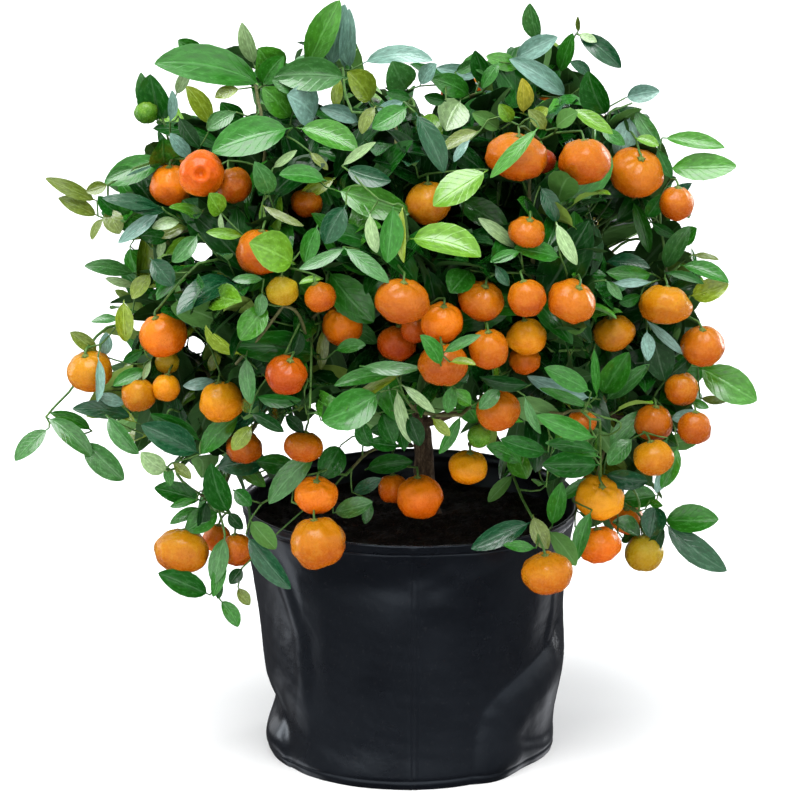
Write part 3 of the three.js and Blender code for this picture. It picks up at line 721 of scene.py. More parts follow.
# ------------------------------------------------------------------ leaves seen in the face of the crown
# Base and tip (pixels of the straight-on view), width, tint, then optionally "*" for a leaf with one
# shining half, "!" for one that does not shine, "^" and the share of its length by which it arches, "+" for a leaf in
# front of a fruit, or the Y of its middle in mm. They are dealt out in sprays, like the rest.
SPRAYS = """
265 87 154 64 36 M ^0.07 *; 240 89 215 98 12 Y; 412 98 386 92 10 E; 404 102 377 110 10 B; 408 106 372 128 20 M; 376 106 362 134 12 O; 200 58 178 40 16 M; 163 122 150 74 26 D; 152 118 141 72 14 G; 170 122 172 90 8 B;
176 95 190 68 10 P; 178 116 200 148 14 D; 166 165 163 138 20 M; 192 158 170 133 12 B; 211 126 186 86 16 Y; 228 111 207 130 15 G;
167 158 104 184 24 M; 168 166 122 180 10 B; 134 168 106 180 11 G; 97 201 45 178 13 O; 98 216 58 198 14 O; 120 214 98 196 13 E;
162 207 102 198 13 T *; 108 185 86 192 12 O
254 65 242 22 13 P; 262 86 284 56 18 M; 278 78 258 48 24 N; 308 68 340 0 24 N; 331 68 345 4 20 B !; 341 78 336 108 11 Y; 344 70 349 8 13 B; 300 92 272 80 14 G;
351 70 349 13 14 B; 362 64 433 61 17 B ^0.08; 348 78 274 77 30 G *; 371 103 347 72 22 Y; 408 90 392 61 22 G;
291 119 262 88 22 N; 316 119 287 95 26 B; 359 123 320 108 14 B; 245 119 221 102 16 D; 236 112 209 128 14 G
292 128 212 152 34 M; 297 128 358 151 24 N; 310 152 328 170 8 O; 273 168 297 150 7 P; 342 166 376 142 8 P;
345 168 391 181 18 T; 327 181 279 175 16 M; 336 178 299 196 13 Y; 335 190 411 213 28 N *
538 42 530 3 14 G; 514 59 558 37 18 B; 567 98 509 59 18 B; 560 74 573 33 13 M; 578 32 578 16 3 O;
576 34 621 68 19 T; 578 34 597 42 8 P; 487 86 475 50 15 D; 480 76 436 68 14 B; 520 68 486 56 15 N; 500 74 470 62 12 G; 420 86 437 64 13 B;
470 96 432 79 20 M; 480 131 442 150 12 O; 470 140 454 162 8 B; 540 186 556 222 16 T; 446 101 424 96 11 D; 461 100 446 131 26 P; 523 114 522 78 13 A; 512 122 499 104 12 L; 530 122 548 108 12 Y; 500 130 472 113 14 u; 546 130 528 110 12 O; 556 128 578 112 14 u; 607 116 588 71 22 D;
591 76 570 62 10 T; 570 108 613 134 13 L; 415 112 444 173 20 T; 488 170 433 206 27 L +; 539 127 490 178 13 N +;
507 191 446 216 22 M; 455 72 478 60 10 G; 500 62 482 88 12 M; 540 96 560 70 12 E
625 98 660 91 16 B; 635 108 661 144 15 G; 630 116 616 156 22 B; 635 138 659 146 10 L; 662 138 725 148 15 N;
667 168 737 166 24 N ^-0.03; 600 128 625 145 12 M
104 218 92 240 8 O; 108 208 120 234 18 O; 161 210 118 243 13 B; 166 212 124 204 11 T; 146 224 138 284 17 Y;
130 246 138 276 14 M; 136 274 84 266 14 G; 136 286 105 278 8 P; 151 274 132 299 16 Y; 124 300 126 342 17 Y;
121 318 91 322 8 G; 98 352 70 332 13 O; 104 356 106 332 11 B; 144 350 123 362 10 D; 148 370 113 386 13 M;
151 360 143 380 6 P; 159 362 150 378 10 D; 98 357 97 402 9 B +; 126 403 97 395 11 B; 216 380 183 386 11 B;
150 258 173 286 20 T *; 181 222 152 228 11 P; 187 226 160 238 12 O; 198 234 172 262 16 G; 163 236 158 257 8 P; 158 272 131 250 16 M; 170 240 140 236 14 E
49 428 15 461 17 G; 46 417 92 457 19 G *; 92 431 50 413 11 M; 82 441 124 480 24 G; 85 426 62 415 8 P; 134 418 72 409 16 T;
106 415 139 454 17 G; 200 454 141 425 25 T *; 201 441 150 414 15 D; 167 471 141 452 17 P; 165 465 170 486 10 M;
172 463 191 479 10 O; 202 501 154 488 19 E; 196 500 170 507 8 M; 203 508 170 524 11 M -70; 219 511 186 531 22 M; 210 595 158 573 21 E -90
632 200 649 253 14 M; 590 205 616 216 12 M; 651 222 676 236 10 D; 646 218 662 194 13 D; 657 148 672 178 12 E; 664 270 690 226 16 G; 681 244 697 228 14 M;
692 255 719 260 6 O; 680 265 729 283 15 M; 665 273 704 284 8 D; 690 296 729 284 20 Y; 653 274 606 272 16 M; 652 282 612 284 8 B; 606 280 622 300 9 G; 604 262 650 268 14 T;
641 295 619 303 11 D; 646 320 684 355 9 B; 647 330 648 361 13 B; 651 330 665 381 28 D; 696 352 665 379 12 D;
698 367 757 401 32 N *; 700 398 726 402 8 O; 602 396 629 352 22 M; 626 350 612 391 10 P; 605 401 650 364 14 G; 525 396 541 434 9 G
650 410 610 448 18 G; 633 438 608 465 17 G; 604 474 648 481 18 T *; 677 461 656 493 13 B; 658 495 622 500 20 M;
650 500 663 506 6 M; 655 505 650 538 22 T !; 662 520 719 519 25 M; 664 522 727 571 24 T *; 622 538 639 535 12 M;
670 419 702 414 12 B; 690 400 709 408 8 M; 678 446 661 488 15 M; 668 438 650 468 13 E; 664 524 642 562 14 D -42;
592 510 578 560 15 M -84; 642 538 612 522 13 G -40; 610 560 584 548 12 E -60; 578 512 606 520 8 M -40; 575 527 603 522 7 G -50
221 212 224 235 5 P; 244 236 206 232 10 L; 295 264 249 243 32 L +; 262 205 304 226 8 O; 318 225 305 263 17 M;
346 205 325 244 22 T; 370 213 377 253 12 P; 346 247 299 269 11 G +; 343 247 389 283 15 G *; 328 270 374 322 32 M !;
323 279 299 284 6 L; 393 205 387 263 20 M; 403 206 404 263 10 Y; 267 304 240 340 24 N; 222 214 209 193 15 L +; 379 345 344 320 14 G;
335 351 366 345 12 M; 401 375 349 406 10 Y; 396 375 334 386 14 M; 360 366 421 368 12 G *; 380 392 322 421 34 M !; 358 312 384 336 22 D 10; 264 279 232 280 9 G; 262 292 259 316 12 G; 325 326 321 370 11 O; 362 420 372 446 16 E; 382 412 394 444 18 D; 408 414 420 446 16 D; 300 330 292 356 12 D;
246 356 251 404 15 G; 255 396 301 400 12 D; 219 350 210 371 11 Y
408 239 481 257 40 L !; 470 270 450 293 22 M; 516 249 478 218 11 P; 455 200 508 229 24 M; 521 252 490 262 10 M;
561 258 514 248 17 M; 556 222 577 265 13 P; 495 265 509 286 10 T; 441 366 420 335 13 M +;
443 353 481 335 9 G +; 450 362 476 365 7 Y +; 592 398 527 376 15 B; 591 392 544 368 17 M;
597 396 594 349 7 M; 592 408 539 388 9 M; 501 388 479 409 14 G +; 531 384 480 377 13 D; 452 385 447 413 13 M;
402 385 435 413 9 P
241 415 202 454 21 M; 250 413 284 432 12 D; 298 467 256 461 18 D; 284 415 303 433 12 D; 252 425 232 450 15 Y +; 269 463 218 468 25 T *;
318 452 269 504 22 G; 230 514 211 463 21 E; 206 500 200 531 12 D; 233 490 251 506 14 D; 250 520 276 549 18 u -122;
246 534 291 589 20 T -124; 225 535 214 584 18 G -90; 218 578 218 599 8 D -88; 228 512 243 529 12 D -84; 242 568 230 584 12 D -92; 238 587 250 605 11 O -92;
223 550 213 597 13 M -90; 220 600 238 627 14 M -90;
341 445 322 479 24 D -104; 365 470 413 462 17 E -70; 333 513 373 502 17 G -108; 352 492 381 478 12 T -92;
370 500 365 524 10 G -84
397 389 411 443 12 P; 432 418 450 436 10 Y; 461 415 439 454 11 M; 404 426 370 431 14 D; 400 446 368 442 13 E;
478 424 454 396 17 M; 472 406 450 392 12 N; 548 452 500 439 17 E; 522 464 486 446 15 M; 512 450 527 479 22 N -60; 513 475 488 502 12 u -62;
532 522 471 549 20 T -118; 536 548 503 545 10 M -124; 552 526 562 482 15 M -84; 548 530 576 566 18 u -106;
533 515 548 549 17 O -112; 596 438 536 415 17 M +; 598 452 548 444 13 E; 600 458 545 443 13 M; 600 465 542 465 24 D; 596 478 560 500 12 M -60
"""
# Stems in plain sight: points in pixels, the Y of each end, and the thickness in mm.
STEMS = [
    ([(283, 306), (262, 334), (236, 364)], None, 2.4),
    ([(300, 322), (285, 355)], None, 1.8),
    ([(312, 318), (311, 362), (310, 408)], None, 1.8),
    ([(610, 112), (632, 103)], None, 1.6),
    ([(412, 446), (398, 446), (370, 451), (346, 475)], (-30, -96), 2.0),
    ([(514, 478), (522, 498), (531, 515)], (-60, -104), 1.8),
    ([(600, 420), (601, 478)], None, 1.8),
    ([(199, 263), (178, 284), (154, 314)], None, 1.8),
    ([(261, 112), (258, 100), (256, 86)], None, 2.4),
    ([(552, 351), (600, 349)], None, 1.8),
    ([(352, 112), (345, 92), (343, 68)], None, 1.8),
]
# The crown's own outline, without the single leaves and shoots that stand out from it.
OUTLINE = [
    (150, 92), (160, 60), (178, 44), (200, 44), (226, 54), (236, 27), (246, 28), (258, 50), (286, 54), (300, 30),
    (318, 12), (336, 2), (352, 22), (362, 52), (392, 47), (424, 60), (455, 66), (474, 53), (500, 54), (522, 45),
    (532, 8), (546, 40), (566, 42), (586, 60), (598, 80), (610, 98), (636, 102), (656, 128), (668, 160), (694, 182),
    (695, 210), (690, 232), (700, 250), (718, 266), (724, 286), (700, 300), (694, 322), (722, 340), (718, 362),
    (738, 385), (716, 402), (712, 430), (696, 444), (674, 452), (676, 476), (664, 496), (664, 530), (662, 562),
    (640, 573), (612, 560), (598, 564), (576, 558), (570, 584), (548, 595), (522, 580), (522, 560), (500, 552),
    (474, 550), (486, 520), (480, 492), (446, 488), (440, 516), (416, 520), (396, 508), (372, 524), (346, 524),
    (344, 560), (320, 571), (294, 562), (290, 588), (266, 572), (252, 604), (238, 624), (216, 596), (188, 596),
    (162, 580), (156, 548), (166, 506), (156, 492), (172, 470), (140, 446), (128, 470), (98, 462), (84, 440),
    (108, 428), (80, 414), (84, 396), (66, 372), (74, 350), (92, 330), (112, 318), (102, 300), (118, 288),
    (98, 266), (122, 250), (110, 226), (94, 208), (84, 188), (106, 176), (140, 152), (156, 138), (136, 112),
]
# Where daylight shows through: middle and half sizes, in pixels.
GAPS = [
    (198, 96, 24, 12), (238, 100, 18, 14), (323, 98, 9, 9), (349, 101, 4, 7), (384, 76, 13, 10), (430, 102, 5, 13), (408, 76, 11, 9),
    (132, 148, 8, 8), (201, 253, 10, 9), (612, 235, 9, 7), (628, 246, 8, 6), (641, 256, 6, 4), (269, 442, 14, 12), (338, 437, 17, 12), (362, 440, 6, 10),
    (432, 434, 6, 12), (448, 432, 8, 8), (458, 402, 8, 6), (452, 444, 8, 6), (490, 461, 6, 7), (534, 431, 7, 4),
    (590, 522, 15, 6), (196, 345, 9, 8), (125, 352, 8, 7), (240, 511, 6, 6), (160, 450, 22, 8), (658, 478, 7, 6),
    (90, 350, 6, 5), (118, 438, 7, 5), (440, 112, 5, 8), (209, 460, 7, 6), (245, 590, 5, 6), (226, 574, 3, 8),
]
# Where the crown is in deep shade between its masses: middle and half sizes, in pixels.
SHADE = [
    (268, 332, 32, 26), (300, 396, 26, 16), (262, 392, 20, 12), (590, 255, 14, 28), (560, 335, 24, 14), (470, 382, 26, 10), (500, 262, 25, 12),
    (440, 285, 12, 10), (395, 425, 30, 18), (215, 315, 16, 14), (190, 440, 40, 14), (350, 345, 12, 20), (600, 300, 18, 12), (545, 395, 20, 10),
]
# In front of the pot and over the soil only the leaves named above hang.
POT_CLEAR = [(256, 556), (292, 546), (330, 556), (420, 560), (500, 556), (566, 560), (548, 790), (267, 790)]
SOIL_CLEAR = [(338, 482), (372, 500), (400, 476), (446, 470), (484, 478), (520, 490), (546, 520), (534, 548), (352, 548), (300, 520)]


def filled(poly):
    """An 800 x 800 map of what a polygon covers."""
    out = np.zeros((800, 800), bool)
    p = np.array(poly, float)
    q = np.roll(p, -1, 0)
    xs = np.arange(800) + 0.5
    for y in range(800):
        c = (p[:, 1] <= y + 0.5) != (q[:, 1] <= y + 0.5)
        if c.any():
            x = p[c, 0] + (y + 0.5 - p[c, 1]) * (q[c, 0] - p[c, 0]) / (q[c, 1] - p[c, 1])
            out[y] = (x[None, :] < xs[:, None]).sum(1) % 2 == 1
    return out


def spread_out(m, n):
    """A map grown by n pixels."""
    for _ in range(n):
        k = m.copy()
        k[1:] |= m[:-1]
        k[:-1] |= m[1:]
        k[:, 1:] |= m[:, :-1]
        k[:, :-1] |= m[:, 1:]
        m = k
    return m


YY, XX = np.mgrid[0:800, 0:800] + 0.5
SKY = np.zeros((800, 800), bool)
for _x, _y, _rx, _ry in GAPS:
    SKY |= ((XX - _x) / _rx) ** 2 + ((YY - _y) / _ry) ** 2 < 1
PAINTED_SHADE_MAP = np.zeros((800, 800), bool)
for _x, _y, _rx, _ry in SHADE:
    PAINTED_SHADE_MAP |= ((XX - _x) / _rx) ** 2 + ((YY - _y) / _ry) ** 2 < 1
CROWN = spread_out(filled(OUTLINE), 2)
ALLOWED = CROWN & ~SKY
NEAR_POT = filled(POT_CLEAR) | filled(SOIL_CLEAR)
COVER = np.full((800, 800), 1e9, np.float64)  # distance to the nearest thing that stays in sight


def look(p):
    """Map row and column of points, kept inside the picture."""
    x, y, z = seen(p)
    return np.clip(y.astype(int), 0, 799), np.clip(x.astype(int), 0, 799), z


# ------------------------------------------------------------------ where the fruit hang
# these show their navel or their stalk's end
TURNED = {(201, 173): vec(-0.1, 3.0, -1.85), (637, 172): vec(0, -0.5, 0.2), (599, 497): vec(0.3, -0.45, 0), (654, 458): vec(-0.2, 0.5, 0)}
fruits = []  # each: middle, half width, half height, axis towards the stalk, colour, clear share
_rng = np.random.default_rng(11)
for _px, _py, _rx, _ry, _tint, _deep, _clear in FRUIT:
    R = _rx * PX
    if isinstance(_deep, str):
        P = skin(_px, _py) + FWD * (0.55 * R + (22 if _deep == "b" else 0))
    else:
        P = on_ray(_px, _py, _deep)
    R *= (P - EYE) @ FWD / 4997
    ry = _ry * PX * ((P - EYE) @ FWD / 4997)
    flat = math.sqrt(max(ry * ry - (R * 0.28) ** 2, (0.74 * R) ** 2 * 0.92)) / 0.96
    axis = unit(vec(0, 0, 1) + _rng.normal(0, 0.2, 3) + TURNED.get((_px, _py), vec(0, 0, 0)))
    fruits.append(dict(c=P, r=R, h=min(flat, R * 0.98), axis=axis, tint=_tint, clear=_clear, seen=True, navel=0.2 if (_px, _py) == (201, 173) else 0.0))
# fruit that hide behind one another are moved apart along the line of sight
for _ in range(60):
    moved = False
    for i in range(len(fruits)):
        for j in range(i + 1, len(fruits)):
            a, b = fruits[i], fruits[j]
            d = b["c"] - a["c"]
            gap = np.linalg.norm(d) - (a["r"] + b["r"]) * 0.96
            if gap < 0:
                s = 1.0 if d @ FWD >= 0 else -1.0
                push = ray(*[float(v[0]) for v in seen(b["c"])[:2]]) * s
                back = b if s > 0 else a
                back["c"] = back["c"] + ray(*[float(v[0]) for v in seen(back["c"])[:2]]) * min(3.0, -gap + 0.5)
                moved = True
    if not moved:
        break


def clear_of_fruit(p, r, gap=1.5):
    return all(np.linalg.norm(p - f["c"]) > r + f["r"] + gap for f in fruits)


# the rest hang round the sides and back, in ones, twos and threes, where the crown hides them from the front
BODY = ~spread_out(~CROWN | SKY, 22)
_rng = np.random.default_rng(23)
_want = 56
_tries = 0
while _want and _tries < 6000:
    _tries += 1
    k = _rng.integers(len(MASS_C))
    if MASS_H[k].min() < 26:
        continue
    d = unit(_rng.normal(size=3) * vec(1, 1, 0.8))
    P = MASS_C[k] + MASS_H[k] * d * 0.8
    if not 4 < inside(P) < 20 or P[1] < 12 or P[2] < 150:
        continue
    x, y = (int(v[0]) for v in seen(P)[:2])
    if not BODY[y, x]:
        continue
    if (P - front(*[float(v[0]) for v in seen(P)[:2]])) @ FWD < 85:
        continue
    near = any(np.linalg.norm(P - f["c"]) < 60 for f in fruits)
    if not near and _rng.random() < 0.45:
        continue
    R = _rng.uniform(12.5, 18.5)
    if P[2] < 200 and math.hypot(P[0], P[1]) < 126 + R:
        continue
    if clear_of_fruit(P, R):
        tint = _rng.choice(list("ooooyyybbrrkg"))
        fruits.append(dict(c=P, r=R, h=R * _rng.uniform(0.8, 0.92), axis=unit(vec(0, 0, 1) + _rng.normal(0, 0.2, 3)), tint=str(tint), clear=0.9, seen=False))
        _want -= 1
# where the crown is thin, one behind it would show through
THIN = [(645, 199), (220, 131), (310, 122), (371, 112), (595, 257), (145, 184), (634, 216), (175, 231)]
fruits = [f for f in fruits if f["seen"] or all(math.hypot(seen(f["c"])[0][0] - x, seen(f["c"])[1][0] - y) > 8 for x, y in THIN)]
FC = np.array([f["c"] for f in fruits])
FR = np.array([f["r"] for f in fruits])
for f in fruits:
    if f["seen"]:
        x, y, z = (float(v[0]) for v in seen(f["c"]))
        rx = f["r"] / PX * f["clear"] * 0.86 * 4997 / z
        ry = (f["h"] * 0.96 + 1.2) / PX * f["clear"] * 0.86 * 4997 / z
        q = ((XX - x) / rx) ** 2 + ((YY - y) / ry) ** 2
        m = q < 1
        COVER[m] = np.minimum(COVER[m], z - np.sqrt(1 - q[m]) * f["r"] * 0.9)

FRUIT_COVER = COVER.copy()

# ------------------------------------------------------------------ the leaves of the crown's face
leaves = Leaves()
TO_EYE = -FWD
LAMP = unit(vec(-0.3, -0.9, 3.0))  # where the soft light overhead stands
# how often a leaf of a tint is turned so that one of its halves shines
SHINE = {"u": 0.0, "B": 1.0, "P": 1.0, "G": 0.9, "L": 0.45, "N": 0.4, "M": 0.45, "T": 0.5, "E": 0.35, "D": 0.15, "Y": 0.3, "O": 0.2, "A": 0.0}
# How a tint sits to the light: share towards the eye, up and to the left.
FACING = {
    "u": (0.80, 0.28, 0.0),
    "B": (0.72, 0.60, 0.08),
    "P": (0.74, 0.55, 0.08),
    "A": (0.80, 0.30, 0.0),
    "G": (0.76, 0.48, 0.08),
    "L": (0.75, 0.50, 0.15),
    "N": (0.80, 0.40, 0.1),
    "M": (0.82, 0.28, 0.0),
    "O": (0.78, 0.30, 0.0),
    "Y": (0.75, 0.40, 0.1),
    "T": (0.86, 0.10, -0.1),
    "E": (0.88, 0.05, -0.1),
    "D": (0.90, -0.12, -0.15),
}


def out_of_pot(p, extra=0.0):
    """Which points are clear of the pot's wall, rim and soil."""
    rad = np.hypot(p[:, 0], p[:, 1])
    wall = pot_radius(np.degrees(np.arctan2(p[:, 1], p[:, 0])), np.clip(p[:, 2], 0, POT_H))
    hit = (p[:, 2] < POT_H + 3 + extra) & (rad < wall + 3 + extra) & (rad > wall - 7)
    hit |= (p[:, 2] < 177) & (rad < wall)
    return ~hit


_rng = np.random.default_rng(5)
feature_rows = []
for spray_no, text in enumerate(SPRAYS.strip().split("\n")):
    for one in text.split(";"):
        w = one.split()
        if len(w) < 6:
            continue
        bx, by, tx, ty, wide = map(float, w[:5])
        tint, more = w[5], (w[6] if len(w) > 6 and w[6][0] not in "^*!" else "")
        run = math.hypot(tx - bx, ty - by) * PX
        long = float(np.clip(max(run * 1.05, wide * PX * 1.9), 16, 90))
        dy = math.sqrt(max(long**2 - run**2, 0.0)) * 0.8
        mx, my = (bx + tx) / 2, (by + ty) / 2
        if more and more != "+":
            y = float(more)
        else:
            y = (skin(mx, my) + FWD * (5 + _rng.uniform(-3, 5)))[1]
        on = [f for f in fruits if f["seen"] and any(
            ((bx + (tx - bx) * t - seen(f["c"])[0][0]) ** 2 + (by + (ty - by) * t - seen(f["c"])[1][0]) ** 2) ** 0.5
            < f["r"] / PX + wide * 0.3 for t in (0.15, 0.4, 0.7, 1.0))]
        if more == "+":
            for f in on:
                y = min(y, f["c"][1] - f["r"] - 3)
        elif not more:
            for f in on:
                y = max(y, f["c"][1] + 2)
        for _ in range(30):
            p0, p1 = on_ray(bx, by, y + dy / 2), on_ray(tx, ty, y - dy / 2)
            q = p0[None] + (p1 - p0)[None] * np.linspace(0, 1, 6)[:, None]
            if out_of_pot(q, 2.0).all():
                break
            y -= 4
        d = p1 - p0
        a, b, c = FACING[tint]
        n = TO_EYE * a + vec(0, 0, 1) * b - RIGHT * c + _rng.normal(0, 0.13, 3)
        fold = math.radians(_rng.uniform(18, 36))
        curl = _rng.uniform(0.05, 0.45)
        du = unit(d)
        if (_rng.random() < SHINE[tint] or "*" in w[6:]) and "!" not in w[6:]:
            m = unit(TO_EYE + LAMP)
            m = unit(m - du * (m @ du))
            x = np.cross(du, m)
            turn = math.atan(math.tan(fold) - 0.5 * curl) * (1 if x @ TO_EYE > 0 else -1)
            n = m * math.cos(turn) + x * math.sin(turn) + _rng.normal(0, 0.04, 3)
        n = unit(n - du * (n @ du))
        face = abs(n @ TO_EYE)
        width = min(1.1 * wide * PX / max(face * math.cos(fold), 0.5), 32)
        bow = np.linalg.norm(d) * _rng.uniform(-0.06, 0.06)
        for w1 in w[6:]:
            if w1[0] == "^":  # arched towards the top of the picture, by this share of its length
                bow = np.linalg.norm(d) * float(w1[1:]) * (1 if unit(np.cross(d, n)) @ UPWARD > 0 else -1)
        if tint == "D" and _rng.random() < 0.5:
            tint = "E"
        feature_rows.append(dict(p0=p0, p1=p1, n=n, width=width, sag=np.linalg.norm(d) * _rng.uniform(0.03, 0.09),
                                 bow=bow, fold=fold,
                                 curl=curl, twist=_rng.uniform(-0.25, 0.25), wave=_rng.uniform(0.2, 0.7),
                                 phase=_rng.uniform(0, 6.28), tint=tint, group="face", lod=0))
leaves.rows += feature_rows
_L = leaves.arrays()
_pts, _, _ = leaf_grid(_L, np.linspace(0.06, 0.98, 26), np.linspace(-0.92, 0.92, 9))
_r, _c, _z = look(_pts.reshape(-1, 3))
for dr in (-1, 0, 1):
    for dc in (-1, 0, 1):
        np.minimum.at(COVER, (np.clip(_r + dr, 0, 799), np.clip(_c + dc, 0, 799)), _z)

# ------------------------------------------------------------------ limbs and twigs


def spline(points, spacing):
    """Even points on the centripetal Catmull-Rom curve through the given ones (the CAD's curve)."""
    p = np.array(points, float)
    out = []
    for i in range(len(p) - 1):
        p1, p2 = p[i], p[i + 1]
        p0 = p[i - 1] if i else p1 * 2 - p2
        p3 = p[i + 2] if i + 2 < len(p) else p2 * 2 - p1
        d0, d1, d2 = (max(np.linalg.norm(b - a) ** 0.5, 1e-4) for a, b in ((p0, p1), (p1, p2), (p2, p3)))
        m1 = ((p1 - p0) / d0 - (p2 - p0) / (d0 + d1) + (p2 - p1) / d1) * d1
        m2 = ((p2 - p1) / d1 - (p3 - p1) / (d1 + d2) + (p3 - p2) / d2) * d1
        t = np.linspace(0, 1, 60, endpoint=False)[:, None]
        out.append((2 * t**3 - 3 * t**2 + 1) * p1 + (t**3 - 2 * t**2 + t) * m1 + (3 * t**2 - 2 * t**3) * p2 + (t**3 - t**2) * m2)
    q = np.concatenate(out + [p[-1:]])
    s = np.concatenate([[0], np.cumsum(np.linalg.norm(np.diff(q, axis=0), axis=1))])
    n = max(int(round(s[-1] / spacing)), 2)
    k = np.linspace(0, s[-1], n + 1)
    return np.stack([np.interp(k, s, q[:, i]) for i in range(3)], 1)


TRUNK = [(11, 28, 171.5), (11.3, 27.5, 186), (9.4, 25, 222), (5, 22, 255), (1, 20, 284)]
BOUGHS = [
    ("bough_leader", 283, [(-4, 22, 330), (2, 14, 385), (-4, 4, 440)], 5.0, 2.6),
    ("bough_front_right", 268, [(34, -22, 300), (70, -72, 330), (92, -104, 366)], 4.6, 2.6),
    ("bough_left", 262, [(-42, 4, 292), (-96, -14, 318), (-158, -18, 326)], 4.6, 2.4),
    ("bough_back_right", 274, [(34, 60, 306), (62, 104, 340), (78, 142, 368)], 4.4, 2.4),
    ("bough_front_left", 277, [(-34, -20, 318), (-72, -66, 350), (-104, -98, 376)], 4.4, 2.4),
    ("bough_back_left", 256, [(-36, 60, 290), (-78, 98, 322), (-120, 110, 352)], 4.4, 2.4),
    ("bough_front", 280, [(4, -30, 326), (0, -84, 366), (-6, -124, 396)], 4.0, 2.4),
    ("bough_right", 250, [(52, 6, 280), (104, -8, 310), (150, -22, 336)], 4.6, 2.4),
    ("bough_low_left", 233, [(-30, 6, 258), (-82, -22, 272), (-128, -44, 266)], 3.6, 2.0),
    ("bough_low_right", 238, [(46, -12, 262), (98, -36, 278), (140, -46, 270)], 3.6, 2.0),
]
trunk_line = spline(TRUNK, 0.5)


def crosses(cover, z):
    """How many points at distance z lie in front of what stays in sight."""
    return ((cover > z + 1) & (cover < 1e8)).sum()


class Wood:
    """The tree's branching: points, each with the point it grows from."""

    def __init__(self):
        n = 120000
        self.p = np.zeros((n, 3))
        self.d = np.zeros((n, 3))
        self.up = np.full(n, -1)
        self.far = np.zeros(n)
        self.limb = np.full(n, -1)  # number of the CAD limb, or -1 for a twig
        self.open = np.zeros(n, bool)  # may something branch off here
        self.size = np.zeros(n)  # least radius
        self.n = 0

    def add(self, p, up, limb=-1, open_=True, size=0.0):
        i = self.n
        self.p[i], self.up[i], self.limb[i], self.open[i], self.size[i] = p, up, limb, open_, size
        if up >= 0:
            v = p - self.p[up]
            self.far[i] = self.far[up] + np.linalg.norm(v)
            self.d[i] = unit(v)
        else:
            self.d[i] = (0, 0, 1)
        self.n += 1
        return i

    def run(self, pts, up, **k):
        ids = []
        for q in pts:
            up = self.add(q, up, **k)
            ids.append(up)
        return ids

    def curve(self, i, target, aim, soft=0.8):
        a, v = self.p[i], target - self.p[i]
        length = np.linalg.norm(v)
        n = max(int(math.ceil(length / 8.5)), 2)
        m1 = unit(self.d[i] * 0.45 + unit(v) * 0.8) * length * soft
        m2 = unit(unit(aim) * 0.75 + unit(v) * 0.45) * length * soft
        t = (np.arange(1, n + 1) / n)[:, None]
        return (2 * t**3 - 3 * t**2 + 1) * a + (t**3 - 2 * t**2 + t) * m1 + (3 * t**2 - 2 * t**3) * target + (t**3 - t**2) * m2

    def grow(self, target, aim, own=None, reach=0.14, size=0.0, open_=True, shy=1.0):
        """Grows a twig from the best place of what is there to a target, ending along aim."""
        n = self.n
        v = target - self.p[:n]
        dist = np.linalg.norm(v, axis=1)
        cos = (v * self.d[:n]).sum(1) / np.maximum(dist, 1e-6)
        cost = dist * (1 + 0.45 * (1 - cos)) + reach * self.far[:n]
        cost[~self.open[:n]] = 1e9
        order = np.argsort(cost)[:154:11]
        best = None

        def weigh(i, c, best):
            r = (np.linalg.norm(c[:, None] - FC[None], axis=2) < FR[None] + 1.0)
            if own is not None:
                r[:, own] = False
            bad = cost[i] + 60 * r.any(1).sum() + 80 * (~out_of_pot(c, -1.0)).sum()
            row, col, z = look(c)
            sky, veil = SKY[row, col].sum(), crosses(COVER[row, col], z)
            bad += shy * (40 * sky + 12 * (~CROWN[row, col]).sum() + 10 * veil + 25 * crosses(FRUIT_COVER[row, col], z))
            return (bad, i, c, sky + veil) if best is None or bad < best[0] else best

        for i in order:
            best = weigh(i, self.curve(i, target, aim), best)
        if best[3]:  # bends round a gap or a fruit instead of crossing it
            for i in order[:4]:
                c = self.curve(i, target, aim)
                t = (np.arange(1, len(c) + 1) / len(c))[:, None]
                side = unit(np.cross(target - self.p[i], FWD))
                for off in (-22, -11, 11, 22):
                    best = weigh(i, c + side * off * 4 * t * (1 - t) + FWD * 4 * abs(off) * t * (1 - t), best)
        _, i, c, _ = best
        ids = self.run(c, i, size=size, open_=open_)
        return ids


wood = Wood()
_ids = wood.run(spline(TRUNK, 6), -1, limb=0, open_=False)
_trunk_ids = _ids
for k in _ids:
    wood.open[k] = wood.p[k][2] > 246
bough_lines = []
for k, (name, at, via, r0, r1) in enumerate(BOUGHS):
    start = trunk_line[np.argmin(np.abs(trunk_line[:, 2] - at))]
    line = spline([start] + via, 1.5)
    bough_lines.append((name, line, r0, r1))
    root = _trunk_ids[int(np.argmin(np.linalg.norm(wood.p[_trunk_ids] - start, axis=1)))]
    ids = wood.run(line[4::4], root, limb=k + 1)
    for i in ids[:3]:
        wood.open[i] = False

# secondary limbs, one into each mass of foliage but not into the single shoots
_rng = np.random.default_rng(31)
_order = np.argsort([np.linalg.norm(wood.p[: wood.n] - c, axis=1).min() for c in MASS_C])
for k in _order:
    c = MASS_C[k] + _rng.normal(0, 5, 3)
    if MASS_N[k].startswith("shoot"):
        continue
    if MASS_N[k].startswith("foliage_skirt"):
        c = c + vec(0, 0, 14)
    outward = unit(MASS_C[k] - vec(0, 10, 300))
    wood.grow(c, unit(outward + vec(0, 0, 0.25)), reach=0.1, shy=3.0)

